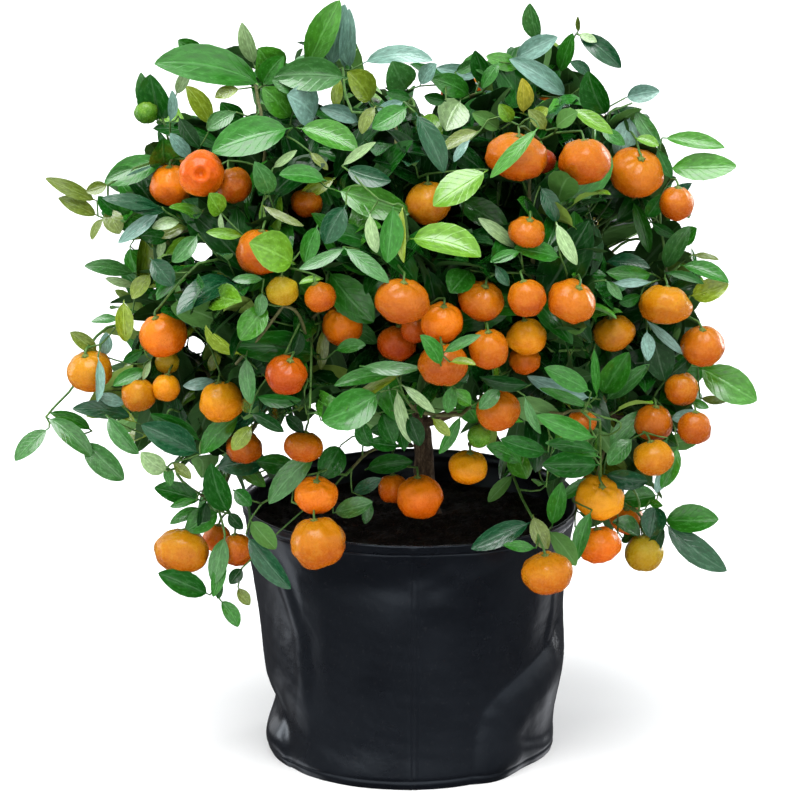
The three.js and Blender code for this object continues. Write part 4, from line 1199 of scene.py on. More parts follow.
# stems in plain sight
stem_ids = []
for pts, ends, thick in STEMS:
    if ends is None:
        ys = [(skin(*pts[0]) + FWD * 9)[1], (skin(*pts[-1]) + FWD * 9)[1]]
    else:
        ys = ends
    q = np.array([on_ray(x, y, ys[0] + (ys[1] - ys[0]) * i / (len(pts) - 1)) for i, (x, y) in enumerate(pts)])
    ids = wood.grow(q[0], q[1] - q[0], size=thick / 2)
    stem_ids += ids[-1:] + wood.run(spline(q, 7)[1:], ids[-1], size=thick / 2)
    row, col, z = look(spline(q, 0.6))
    for dc in (-1, 0, 1):
        np.minimum.at(COVER, (row, np.clip(col + dc, 0, 799)), z - 1)

# fruit stalks
_rng = np.random.default_rng(37)
for k in np.argsort([np.linalg.norm(wood.p[: wood.n] - f["c"], axis=1).min() for f in fruits]):
    f = fruits[k]
    top = f["c"] + f["axis"] * f["h"] * 0.9
    start = top
    away = unit(vec(start[0], start[1], 0)) if not f["seen"] else unit(TO_EYE * 0.8 + unit(vec(top[0], top[1], 0)) * 0.4)
    start = top + f["axis"] * 7 - away * 7
    ids = wood.grow(start, away * 0.9 - f["axis"] * 0.5, own=None, size=0.85, shy=0.5)
    f["stalk"] = ids[-1]
    wood.run([start * 0.45 + top * 0.55 + f["axis"] * 1.5, top], ids[-1], size=1.0, open_=False)

# twigs to the leaves of the crown's face
_base = np.array([r["p0"] for r in feature_rows])
_left = list(range(len(_base)))
_near = np.array([np.linalg.norm(wood.p[: wood.n] - b, axis=1).min() for b in _base])
while _left:
    k = min(_left, key=lambda i: _near[i])
    _left.remove(k)
    r = feature_rows[k]
    d = unit(r["p1"] - r["p0"])
    n0 = wood.n
    ids = wood.grow(r["p0"], unit(d * 0.8 + unit(r["p0"] - vec(0, 10, 300)) * 0.4), size=0.62)
    r["node"] = ids[-1]
    new = wood.p[n0 : wood.n]
    for i in _left:
        _near[i] = min(_near[i], np.linalg.norm(new - _base[i], axis=1).min())

# ------------------------------------------------------------------ shoots and their leaves, all round


VOX = 8.0
_lo = (MASS_C - MASS_H).min(0) - 8 * VOX
_n = np.ceil(((MASS_C + MASS_H).max(0) + 8 * VOX - _lo) / VOX).astype(int)
_g = np.stack(np.meshgrid(*[np.arange(k) for k in _n], indexing="ij"), -1) * VOX + _lo
_occ = np.zeros(_n, bool)
for _c, _h in zip(MASS_C, MASS_H):
    _occ |= (((_g - _c) / (_h + 5)) ** 2).sum(-1) < 1
# between the masses lies the crown's own middle, where boughs carry a few shaded leaves
_occ |= (((_g - vec(-4, 4, 392)) / vec(196, 140, 104)) ** 2).sum(-1) < 1


def eaten(m, corners):
    """A block of voxels with its outer layer taken off."""
    k = m.copy()
    if not corners:
        for ax in range(3):
            k &= np.roll(m, 1, ax) & np.roll(m, -1, ax)
        return k
    for ax in range(3):
        k = k & np.roll(k, 1, ax) & np.roll(k, -1, ax)
    return k


for _k in range(3):  # the narrow gaps between masses are closed
    _occ = ~eaten(~_occ, _k % 2 == 1)
DEPTH = np.full(_n, -3 * VOX)
_cur, _k = _occ, 1
while _cur.any():
    DEPTH[_cur] += VOX
    _cur = eaten(_cur, _k % 2 == 1)
    _k += 1
SMOOTH = DEPTH.copy()
for _ in range(3):
    for ax in range(3):
        SMOOTH = (np.roll(SMOOTH, 1, ax) + SMOOTH * 2 + np.roll(SMOOTH, -1, ax)) / 4
SLOPE = np.stack(np.gradient(SMOOTH), -1)


def depth_at(p):
    i = tuple(np.clip(np.round((np.asarray(p) - _lo) / VOX).astype(int), 0, _n - 1).T)
    return SMOOTH[i] - VOX / 2, SLOPE[i]


def dart(points, spacing, taken):
    """Keeps points at least `spacing` apart from each other and from those taken."""
    keep = []
    pool = np.array(taken) if len(taken) else np.zeros((0, 3))
    for i, q in enumerate(points):
        if len(pool) and np.linalg.norm(pool - q, axis=1).min() < spacing[i]:
            continue
        pool = np.vstack([pool, q])
        keep.append(i)
    return keep


def layer_points(rng, count, near, far):
    """Points between two depths under the crown's surface, with the way out and the mass at each."""
    p = _lo + rng.random((count, 3)) * (_n - 1) * VOX
    d, slope = depth_at(p)
    keep = (d > near) & (d < far)
    p, slope = p[keep], slope[keep]
    out = -slope
    flat = np.linalg.norm(out, axis=1) < 0.15
    out[flat] = p[flat] - vec(0, 0, 330)
    out /= np.maximum(np.linalg.norm(out, axis=1), 1e-9)[:, None]
    mk = np.array([np.argmin(np.linalg.norm((q - MASS_C) / MASS_H, axis=1)) for q in p])
    return p, out, mk


CENTRE = vec(0, 0, 330)
OUTER = "MMMMMNNNNEEEDDLLTYG"
# painted shade: the inner layers are dealt darker tints, where the crown's shade falls
INNER = "DDDEEEMMT"
NEXT = {"M": "MMNE", "N": "NNML", "E": "EEMD", "D": "DDE", "L": "LLNY", "T": "TTEG", "Y": "YYLO", "G": "GGNB", "B": "BG", "O": "OY", "P": "PG", "A": "YA"}


def shoot(rng, tip, out, mass, tints, long, count, lod):
    name = MASS_N[mass]
    hang = "skirt" in name or "hanging" in name
    rise = -0.35 if hang else (0.5 if out[2] > -0.35 else 0.12)
    way = unit(out * 0.55 + unit(tip - CENTRE) * 0.45 + vec(0, 0, rise) + rng.normal(0, 0.24, 3))
    base = tip - way * long
    row, col, z = look(np.array([tip, base]))
    if SKY[row, col].any() or not CROWN[row, col].all() or not out_of_pot(np.array([tip, base, (tip + base) / 2]), 3).all():
        return 0
    n0 = wood.n
    ids = wood.grow(base, way, size=0.6)
    row, col, z = look(wood.p[n0 : wood.n])
    if SKY[row, col].any() or crosses(FRUIT_COVER[row, col], z):
        wood.n = n0
        return 0
    bend = np.cross(way, rng.normal(size=3))
    bend = unit(bend) * long * rng.uniform(-0.1, 0.1) + vec(0, 0, -long * 0.06)
    q = spline([base, (base + tip) / 2 + bend, tip], 7)
    more = wood.run(q[1:], ids[-1], size=0.55)
    axis_ids = ids[-3:] + more
    main = tints[rng.integers(len(tints))]
    turn0 = rng.uniform(0, 2 * np.pi)
    size = rng.uniform(44, 62) * (0.86 if "shoot" in name else 1.0)
    placed = []
    cand = []
    for i in range(count):
        s = (i + rng.uniform(0.1, 0.9)) / count
        terminal = i == count - 1
        k = axis_ids[-1] if terminal else axis_ids[min(int(s * len(axis_ids)), len(axis_ids) - 1)]
        p0 = wood.p[k]
        ax = wood.d[k]
        side = unit(np.cross(ax, vec(0.13, 0.31, 0.94)))
        other = np.cross(ax, side)
        a = turn0 + i * math.radians(137.5) + rng.normal(0, 0.15)
        rad = side * math.cos(a) + other * math.sin(a)
        th = math.radians(rng.uniform(8, 25)) if terminal else math.radians(rng.uniform(38, 72) - 14 * s)
        d = ax * math.cos(th) + rad * math.sin(th)
        d = unit(d + vec(0, 0, -0.12 if not hang else -0.25) + out * 0.18)
        length = size * (0.72 + 0.42 * math.sin(math.pi * min(s * 0.9 + 0.12, 1))) * rng.uniform(0.82, 1.15)
        if terminal:
            length *= rng.uniform(0.7, 1.0)
        n = vec(0, 0, 0.62) + out * 0.62 + ax * 0.35 + rng.normal(0, 0.3, 3)
        n = unit(n - d * (n @ d))
        tint = main if rng.random() < 0.45 else NEXT[main][rng.integers(len(NEXT[main]))]
        if rng.random() < 0.75 and depth_at((p0 + d * length * 0.6)[None])[0][0] > 15:  # leaves deep in the crown take darker tints: painted shade, and the darker green of older leaves
            tint = "DDE"[rng.integers(3)]
        # painted shade: in the crown's shaded pockets the leaves take the darkest tints
        row, col, z = look((p0 + d * length * 0.55)[None])
        if PAINTED_SHADE_MAP[row[0], col[0]] and p0[1] < 60:
            tint = "DDDE"[rng.integers(4)]
        cand.append(dict(p0=p0.copy(), p1=p0 + d * length, n=n, width=length * rng.uniform(0.38, 0.5),
                         sag=length * rng.uniform(0.05, 0.15), bow=length * rng.uniform(-0.07, 0.07),
                         fold=math.radians(rng.uniform(10, 36)), curl=rng.uniform(0, 0.8), twist=rng.uniform(-0.45, 0.45),
                         wave=rng.uniform(0.15, 0.8), phase=rng.uniform(0, 6.28), tint=tint, group=name, node=k, lod=lod))
    L = leaves.arrays(cand)
    pts, _, tipp = leaf_grid(L, TEST_T, TEST_S)
    pts = np.concatenate([pts.reshape(len(cand), -1, 3), tipp[:, None]], 1)
    for c, q in zip(cand, pts):
        row, col, z = look(q)
        if not ALLOWED[row, col].all():
            continue
        if (COVER[row, col] > z + 1.0)[COVER[row, col] < 1e8].any():
            continue
        if (NEAR_POT[row, col] & (q[:, 1] < 30)).any():
            continue
        if not out_of_pot(q, 1.0).all():
            continue
        if (np.linalg.norm(q[:, None] - FC[None], axis=2) < FR[None] * 0.97).any():
            continue
        if (q[:, 0] < BOX_LO[0]).any() or (q[:, 0] > BOX_HI[0]).any() or (q[:, 1] < BOX_LO[1]).any() or (q[:, 1] > BOX_HI[1]).any() or (q[:, 2] > BOX_HI[2]).any():
            continue
        placed.append(c)
    if not placed:  # a bare twig is taken back
        wood.n = n0
        return 0
    leaves.rows += placed
    return len(placed)


BOX_LO, BOX_HI = np.array(CAD_BOX[0]) * 1000 - 6, np.array(CAD_BOX[1]) * 1000 + 6
TEST_T = np.array([0.14, 0.3, 0.48, 0.66, 0.84])
TEST_S = np.array([-0.95, 0, 0.95])

# outermost shoots first, then what fills the crown behind them
for seed, near, far, gap, long, each, tints, lod, tries in (
    (101, 8, 18, 21.0, (42, 72), (7, 10), OUTER, 1, 70000),
    (103, 28, 40, 27.0, (38, 62), (6, 9), OUTER + INNER, 1, 50000),
    (107, 56, 76, 34.0, (34, 58), (6, 8), INNER, 2, 30000),
):
    _rng = np.random.default_rng(seed)
    tips, outs, mass = layer_points(_rng, tries, near, far)
    order = dart(tips, np.full(len(tips), gap), [])
    order = sorted(order, key=lambda i: np.linalg.norm(tips[i] - CENTRE))
    made = used = 0
    for i in order:
        if outs[i][2] < -0.75 and _rng.random() < 0.5:
            continue
        if near > 50 and tips[i][2] < 260 and np.hypot(tips[i][0], tips[i][1]) < 80:
            continue
        m = shoot(_rng, tips[i], outs[i], mass[i], tints, _rng.uniform(*long), int(_rng.integers(*each)), lod)
        made += m
        used += m > 0
    print("shoots", len(tips), len(order), used, "leaves", made)
print("leaves", len(leaves.rows), "wood points", wood.n)

# ------------------------------------------------------------------ pruning
N = wood.n
UP = wood.up[:N]
_named = np.zeros(N, bool)  # carries a fruit, a stem or a leaf that is placed by name
for f in fruits:
    _named[f["stalk"] : f["stalk"] + 3] = True
_named[stem_ids] = True
for r in leaves.rows:
    if r["group"] == "face":
        _named[r["node"]] = True
for i in range(N - 1, 0, -1):
    if _named[i]:
        _named[UP[i]] = True
_mid = wood.p[:N].copy()
_mid[1:] = (_mid[1:] + wood.p[UP[1:]]) / 2
gone = np.zeros(N, bool)  # what would cross a gap is cut off
for q in (wood.p[:N], _mid):
    row, col, z = look(q)
    gone |= SKY[row, col]
gone &= ~_named & (wood.limb[:N] < 0)
for i in range(1, N):
    gone[i] |= gone[UP[i]]
_was = len(leaves.rows)
leaves.rows = [r for r in leaves.rows if not gone[r["node"]]]
_used = _named.copy()  # and so is what ends up bare
for r in leaves.rows:
    _used[r["node"]] = True
for i in range(N - 1, 0, -1):
    if _used[i]:
        _used[UP[i]] = True
gone |= ~_used & (wood.limb[:N] < 0)
print("pruned", int(gone.sum()), "of", N, "points and", _was - len(leaves.rows), "leaves")

# kinks between the leaves are smoothed, and twigs are eased off the fruit they brush
_held = np.zeros(N, bool)
for r in leaves.rows:
    _held[r["node"]] = True
for f in fruits:
    _held[f["stalk"] : f["stalk"] + 3] = True
_held[stem_ids] = True
_free = ~_held & (wood.limb[:N] < 0) & ~gone & (UP >= 0)
_live = np.nonzero(~gone & (UP >= 0))[0]
for _ in range(4):
    total, count = np.zeros((N, 3)), np.zeros(N)
    np.add.at(total, UP[_live], wood.p[_live])
    np.add.at(count, UP[_live], 1)
    k = _free & (count > 0)
    wood.p[:N][k] = wood.p[:N][k] * 0.5 + wood.p[UP[k]] * 0.25 + total[k] / count[k][:, None] * 0.25
for f in fruits:
    v = wood.p[:N] - f["c"]
    far = np.linalg.norm(v, axis=1)
    k = (far < f["r"] + 2.2) & _free
    wood.p[:N][k] = f["c"] + v[k] / np.maximum(far[k], 1e-6)[:, None] * (f["r"] + 2.2)

# ------------------------------------------------------------------ how thick each twig is
load = np.zeros(N)
E = 2.9
for r in leaves.rows:
    load[r["node"]] += 0.5**E
for i in range(N):
    load[i] += wood.size[i] ** E * 0.02
for i in range(N - 1, 0, -1):
    if wood.up[i] >= 0:
        load[wood.up[i]] += load[i]
radius = np.maximum(load ** (1 / E), np.maximum(wood.size[:N], 0.5))
limb_r = np.zeros(N)
for i in range(N):  # a twig is thinner than what carries it
    u = wood.up[i]
    if wood.limb[i] >= 0:
        continue
    if u >= 0 and wood.limb[u] >= 0:
        radius[i] = min(radius[i], 2.4)
    elif u >= 0:
        radius[i] = min(radius[i], max(radius[u], 0.5))

# ------------------------------------------------------------------ tubes


def frames(p):
    """Tangents and two cross directions along points, without twisting."""
    t = np.gradient(p, axis=0)
    t /= np.maximum(np.linalg.norm(t, axis=1), 1e-9)[:, None]
    u = np.zeros_like(p)
    a = np.cross(t[0], vec(0.3, 0.2, 0.93))
    u[0] = unit(a)
    for i in range(1, len(p)):
        a = u[i - 1] - t[i] * (u[i - 1] @ t[i])
        u[i] = unit(a)
    return t, u, np.cross(t, u)


class Tubes:
    def __init__(self):
        self.v, self.f, self.s, self.m, self.b = [], [], [], [], []
        self.n = 0
        self.tris = 0

    def add(self, p, r, sides, mats, shape=None, seed=0.0, close_start=True):
        t, u, w = frames(p)
        a = np.arange(sides) * 2 * np.pi / sides
        ring = np.cos(a)[None, :, None] * u[:, None] + np.sin(a)[None, :, None] * w[:, None]
        rr = np.asarray(r)[:, None] * np.ones(sides)[None]
        if shape is not None:
            rr = shape(p, a, rr, ring)
        v = p[:, None] + ring * rr[..., None]
        rows = len(p)
        s = np.concatenate([[0], np.cumsum(np.linalg.norm(np.diff(p, axis=0), axis=1))])
        b = np.stack([np.cos(a)[None] * rr, np.sin(a)[None] * rr, np.broadcast_to(s[:, None], rr.shape)], -1) / 10 + seed
        f = grid_faces(rows, sides) + self.n
        verts = [v.reshape(-1, 3)]
        battr = [b.reshape(-1, 3)]
        faces = [f.ravel()]
        sizes = [np.full(len(f), 4)]
        fm = np.repeat(np.asarray(mats)[:-1], sides)
        caps = []
        top = self.n + (rows - 1) * sides + np.arange(sides)
        tip = self.n + rows * sides
        verts.append((p[-1] + t[-1] * r[-1] * 0.5)[None])
        battr.append(b[-1].mean(0)[None])
        caps.append(np.stack([top, np.roll(top, -1), np.full(sides, tip)], 1))
        extra = 1
        if close_start:
            bot = self.n + np.arange(sides)
            verts.append(p[:1])
            battr.append(b[0].mean(0)[None])
            caps.append(np.stack([np.roll(bot, -1), bot, np.full(sides, tip + 1)], 1))
            extra = 2
        c = np.concatenate(caps)
        faces.append(c.ravel())
        sizes.append(np.full(len(c), 3))
        fm = np.concatenate([fm, np.full(sides, mats[-1]), np.full(len(c) - sides, mats[0])])
        self.v += verts
        self.b += battr
        self.f += faces
        self.s += sizes
        self.m.append(fm)
        self.n += rows * sides + extra
        self.tris += 2 * (rows - 1) * sides + len(c)

    def piece(self, name, mats, **k):
        return make_piece(name, np.concatenate(self.v), np.concatenate(self.f), np.concatenate(self.s), mats,
                          np.concatenate(self.m), attrs={"bark": np.concatenate(self.b)}, **k)


bark_old = wood_material("bark_old", (srgb(62, 48, 38), srgb(104, 84, 64), srgb(150, 128, 100)), 3.2, 0.9, 0.85)
bark_young = wood_material("bark_young", (srgb(58, 62, 34), srgb(88, 92, 52), srgb(126, 122, 78)), 5.0, 0.3, 0.7)
stem_green = wood_material("stem_green", (srgb(42, 80, 30), srgb(72, 112, 46), srgb(110, 142, 72)), 7.0, 0.12, 0.5)

# trunk and main boughs: one mesh with the bark's ridges
limbs = Tubes()


def bark_shape(seed, amount):
    def shape(p, a, rr, ring):
        q = p[:, None] + ring * rr[..., None]
        flat = q.reshape(-1, 3)
        ridged = waves(flat * vec(1, 1, 0.22), seed, 5.2, 3)
        knots = waves(flat, seed + 7, 22.0, 2)
        return rr + (ridged * amount + knots * amount * 1.1).reshape(rr.shape)

    return shape


tp = spline([(11, 28, 167.5)] + TRUNK, 1.6)
ts = np.clip((tp[:, 2] - 171.5) / (284 - 171.5), 0, 1)
tr = 7.4 - 1.8 * ts + 5.1 * np.exp(-np.maximum(tp[:, 2] - 171.5, 0) / 7.2) + 1.3 * step(0.78, 1, ts)
tr[tp[:, 2] < 171.5] = 12.5


def trunk_shape(p, a, rr, ring):
    low = np.exp(-np.maximum(p[:, 2] - 170, 0) / 9.0)[:, None]
    rr = rr * (1 + 0.13 * low * np.cos(5 * a + 0.7)[None] + 0.05 * low * np.cos(3 * a)[None])
    # healed stubs of old twigs
    for z0, a0, h, r0 in ((204, 1.2, 1.6, 4.0), (231, 3.9, 1.9, 4.5), (218, 5.4, 1.2, 3.2), (262, 2.4, 1.5, 4.0)):
        da = np.angle(np.exp(1j * (a - a0)))[None] * rr
        rr = rr + h * np.exp(-((p[:, 2] - z0)[:, None] ** 2 + da**2) / r0**2)
    return bark_shape(3, 0.42)(p, a, rr, ring)


limbs.add(np.concatenate([tp, [tp[-1] + vec(0, 0, 3)]]), np.append(tr, 4.0), 44, np.zeros(len(tp) + 1, int), trunk_shape, 0.0)
for k, (name, line, r0, r1) in enumerate(bough_lines):
    t = np.linspace(0, 1, len(line))
    r = r0 + (r1 - r0) * t**0.8
    limbs.add(line, r, 22, np.zeros(len(line), int), bark_shape(20 + k, 0.26), 3.1 * (k + 1))
limbs.piece("trunk_and_boughs", [bark_old], replaces=["trunk"] + [b[0] for b in BOUGHS], slot="bark")

# twigs: each carries on through its thickest branch
child = [[] for _ in range(N)]
for i in range(1, N):
    if wood.up[i] >= 0:
        child[wood.up[i]].append(i)
follow = np.full(N, -1)
for i in range(N):
    c = [k for k in child[i] if wood.limb[k] < 0 and not gone[k]]
    if c and wood.limb[i] < 0:
        follow[i] = max(c, key=lambda k: radius[k])
twigs = [Tubes(), Tubes()]
for i in range(N):
    if wood.limb[i] >= 0 or gone[i]:
        continue
    u = wood.up[i]
    if u >= 0 and wood.limb[u] < 0 and follow[u] == i:
        continue
    ids = [i]
    while follow[ids[-1]] >= 0:
        ids.append(follow[ids[-1]])
    p = np.concatenate([wood.p[u][None], wood.p[ids]])
    r = np.concatenate([[min(radius[i] * 1.25, max(radius[u], 0.6) if wood.limb[u] < 0 else 3)], radius[ids]])
    if len(p) > 4:  # ease the thickness along
        r[1:-1] = (r[:-2] + r[1:-1] * 2 + r[2:]) / 4
    if len(p) < 2:
        continue
    thick = r.max()
    sides = 9 if thick > 1.9 else (7 if thick > 1.1 else 5)
    mats = np.where(r > 1.9, 0, np.where(r > 1.15, 1, 2))
    back = 0 if p[len(p) // 2][1] < 10 else 1
    twigs[back].add(p, r, sides, mats, None, 0.37 * (i % 97))
twig_mats = [bark_old, bark_young, stem_green]
twigs[0].piece("twigs_front", twig_mats, slot="bark")
twigs[1].piece("twigs_back", twig_mats, slot="bark")
print("limb triangles", limbs.tris, "twig triangles", twigs[0].tris, twigs[1].tris)

# ------------------------------------------------------------------ leaves into pieces
leaf_mats = [leaf_material(k) for k in TINT_NAMES]


def side_of(p):
    if p[2] > 455 and math.hypot(p[0], p[1]) < 150:
        return "top"
    a = math.degrees(math.atan2(p[1], p[0])) % 360
    return "right" if a < 38 or a >= 325 else "back" if a < 142 else "left" if a < 215 else "front"


SIDES = ("front", "right", "back", "left", "top")
mass_side = {n: side_of(c) for n, c in zip(MASS_N, MASS_C)}
total = 0
for side in SIDES:
    rows = [r for r in leaves.rows if side_of(r["p1"]) == side]
    v, lo, sz, mi, uv, bk, sh = [], [], [], [], [], [], []
    off = 0
    for lod in (0, 1, 2):
        some = [r for r in rows if r["lod"] == lod]
        if not some:
            continue
        a = leaf_mesh(leaves.arrays(some), lod)
        v.append(a[0])
        lo.append(a[1] + off)
        off += len(a[0])
        for x, y in zip((sz, mi, uv, bk, sh), a[2:]):
            x.append(y)
        total += len(some) * tris_of(lod)
    make_piece("leaves_" + side, np.concatenate(v), np.concatenate(lo), np.concatenate(sz), leaf_mats, np.concatenate(mi),
               uvs={"LeafUV": np.concatenate(uv), "OFBake": np.concatenate(bk)},
               replaces=[n for n in MASS_N if mass_side[n] == side], slot="leaf", sharp=np.concatenate(sh))
    print("leaves_" + side, len(rows))
print("leaf triangles", total)

# ------------------------------------------------------------------ fruit meshes
LAT, LON = 27, 44


def fruit_mesh(f, no):
    rng = np.random.default_rng(700 + no)
    th = np.linspace(0, np.pi, LAT + 1)[1:-1]
    ph = np.arange(LON) * 2 * np.pi / LON
    T, P = np.meshgrid(th, ph, indexing="ij")
    n = np.stack([np.sin(T) * np.cos(P), np.sin(T) * np.sin(P), np.cos(T)], -1).reshape(-1, 3)
    n = np.concatenate([n, [[0, 0, 1], [0, 0, -1]]])
    rho = np.hypot(n[:, 0], n[:, 1])
    az = np.arctan2(n[:, 1], n[:, 0])
    ribs = int(rng.integers(7, 10))
    k = 1 + 0.048 * waves(n * 10, 900 + no, 10, 2) + 0.020 * np.cos(ribs * az + rng.uniform(0, 6)) * np.exp(-((rho - 0.5) / 0.34) ** 2) * (0.25 + 0.75 * (n[:, 2] > 0))
    q = n * k[:, None]
    z = q[:, 2]
    z = np.sign(z) * np.abs(z) ** 0.96
    z = z - 0.13 * np.exp(-((rho / 0.2) ** 2)) * (n[:, 2] > 0) + (0.07 * np.exp(-((rho / 0.16) ** 2)) + f.get("navel", 0.0) * (np.exp(-((rho / 0.2) ** 2)) - 0.55 * np.exp(-(((rho - 0.36) / 0.1) ** 2)))) * (n[:, 2] < 0)
    ax = f["axis"]
    u = unit(np.cross(ax, vec(0.2, 1, 0.1)))
    w = np.cross(ax, u)
    x = q[:, 0] * f["r"] * (1 + rng.uniform(-0.02, 0.02))
    y = q[:, 1] * f["r"] * (1 + rng.uniform(-0.02, 0.02))
    v = f["c"] + x[:, None] * u + y[:, None] * w + (z * f["h"])[:, None] * ax
    rows = LAT - 1
    g = grid_faces(rows, LON)[:, ::-1]
    a = np.arange(LON)
    t0 = np.stack([a, (a + 1) % LON, np.full(LON, rows * LON)], 1)
    last = (rows - 1) * LON
    t1 = np.stack([last + (a + 1) % LON, last + a, np.full(LON, rows * LON + 1)], 1)
    place = np.concatenate([q[:, :2], z[:, None]], 1)
    return v, g, np.concatenate([t0, t1]), place


def calyx(f, no):
    """The small green star that holds the fruit to its stalk."""
    rng = np.random.default_rng(800 + no)
    ax = f["axis"]
    u = unit(np.cross(ax, vec(0.2, 1, 0.1)))
    w = np.cross(ax, u)
    a = np.arange(20) * 2 * np.pi / 20 + rng.uniform(0, 6)
    r = 2.6 + 0.8 * np.cos(5 * np.arange(20) * 2 * np.pi / 20)
    zs = f["h"] * 0.90
    lift = 0.035 * r * r
    rim = f["c"] + (np.cos(a) * r)[:, None] * u + (np.sin(a) * r)[:, None] * w + (zs + lift)[:, None] * ax
    inner = f["c"] + (np.cos(a) * 1.7)[:, None] * u + (np.sin(a) * 1.7)[:, None] * w + (zs + 1.5) * ax
    low = f["c"] + (np.cos(a) * r * 0.8)[:, None] * u + (np.sin(a) * r * 0.8)[:, None] * w + (zs - 0.8) * ax
    v = np.concatenate([low, rim, inner, [f["c"] + ax * (zs + 1.9)], [f["c"] + ax * (zs - 1.2)]])
    g = grid_faces(3, 20)
    i = np.arange(20)
    t = np.concatenate([np.stack([40 + i, 40 + (i + 1) % 20, np.full(20, 60)], 1), np.stack([(i + 1) % 20, i, np.full(20, 61)], 1)])
    return v, g, t


rinds = [fruit_material(k) for k in FRUIT_KEYS]
calyx_green = wood_material("calyx_green", (srgb(70, 92, 36), srgb(104, 124, 52), srgb(140, 146, 72)), 9.0, 0.2, 0.6)


def fruit_piece(name, some):
    V, F4, F3, M4, M3, P, S, B4, B3, K = [], [], [], [], [], [], [], [], [], []
    off = 0
    for i, (no, f) in enumerate(some):
        v, g, t, place = fruit_mesh(f, no)
        cx, cy = i % 8, i // 8
        u = np.arctan2(place[:, 1], place[:, 0]) / (2 * np.pi) + 0.5
        w = np.arccos(np.clip(place[:, 2] / 1.02, -1, 1)) / np.pi
        for faces, store, uvs in ((g, F4, B4), (t, F3, B3)):
            fu, fw = u[faces], w[faces]
            hi = fu.max(1, keepdims=True) - fu.min(1, keepdims=True) > 0.5
            fu = np.where(hi & (fu < 0.5), fu + 1, fu)
            pole = np.isin(faces, [len(v) - 2, len(v) - 1])
            if pole.any():
                other = np.where(pole, 0, fu).sum(1, keepdims=True) / np.maximum((~pole).sum(1, keepdims=True), 1)
                fu = np.where(pole, other, fu)
            store.append(faces + off)
            uvs.append(np.stack([(cx + 0.03 + 0.86 * fu) / 8, (cy + 0.04 + 0.9 * fw) / 8], -1).reshape(-1, 2))
        M4.append(np.full(len(g), FRUIT_KEYS.index(f["tint"])))
        M3.append(np.full(len(t), FRUIT_KEYS.index(f["tint"])))
        V.append(v)
        P.append(place)
        K.append(np.tile(np.random.default_rng(40 + no).uniform(0, 40, 3), (len(v), 1)))
        off += len(v)
        v, g, t = calyx(f, no)
        F4.append(g + off)
        F3.append(t + off)
        rel = (v - f["c"]) / f["r"]
        for faces, uvs in ((g, B4), (t, B3)):
            uvs.append(np.stack([(7.5 + rel[faces][..., 0]) / 8, (7.5 + rel[faces][..., 1]) / 8], -1).reshape(-1, 2))
        M4.append(np.full(len(g), len(FRUIT_KEYS)))
        M3.append(np.full(len(t), len(FRUIT_KEYS)))
        V.append(v)
        P.append(rel)
        K.append(np.zeros((len(v), 3)))
        off += len(v)
    F4, F3 = np.concatenate(F4), np.concatenate(F3)
    V, P, K = np.concatenate(V), np.concatenate(P), np.concatenate(K)
    return make_piece(name, V, np.concatenate([F4.ravel(), F3.ravel()]), np.concatenate([np.full(len(F4), 4), np.full(len(F3), 3)]),
                      rinds + [calyx_green], np.concatenate(M4 + M3), uvs={"OFBake": np.concatenate(B4 + B3)},
                      attrs={"rind": P, "rind_seed": K, "bark": V / 10})


half = len(fruits) // 2 + 1
numbered = sorted(enumerate(fruits), key=lambda q: q[1]["c"][1])
fruit_piece("fruit_front", numbered[:half])
fruit_piece("fruit_back", numbered[half:])
print("fruit", len(fruits))

# ------------------------------------------------------------------ pot
film = film_material()


def along(az, z, pts):
    """Signed distance in mm from a line of (azimuth, height) points on the pot's face, positive on the
    left of the way it runs, and how far along it, as a share of its length."""
    R = 108.0
    best = np.full(np.shape(az), 1e9)
    sign, part = np.ones(np.shape(az)), np.zeros(np.shape(az))
    lens = [math.hypot(math.radians(float(wrap(b[0] - a[0]))) * R, b[1] - a[1]) for a, b in zip(pts, pts[1:])]
    run, total = 0.0, sum(lens)
    for (a0, z0), (a1, z1), ln in zip(pts, pts[1:], lens):
        x = np.radians(wrap(az - a0)) * R
        dx, dz = math.radians(float(wrap(a1 - a0))) * R, z1 - z0
        t = (x * dx + (z - z0) * dz) / ln**2
        tc = np.clip(t, 0, 1)
        d = np.hypot(x - tc * dx, (z - z0) - tc * dz)
        near = d < best
        best = np.where(near, d, best)
        sign = np.where(near, np.sign(dx * (z - z0) - dz * x), sign)
        lo, hi = (-0.3 if run == 0 else 0.0), (1.3 if run + ln >= total - 1e-6 else 1.0)
        part = np.where(near, (run + np.clip(t, lo, hi) * ln) / total, part)
        run += ln
    return best * sign, part


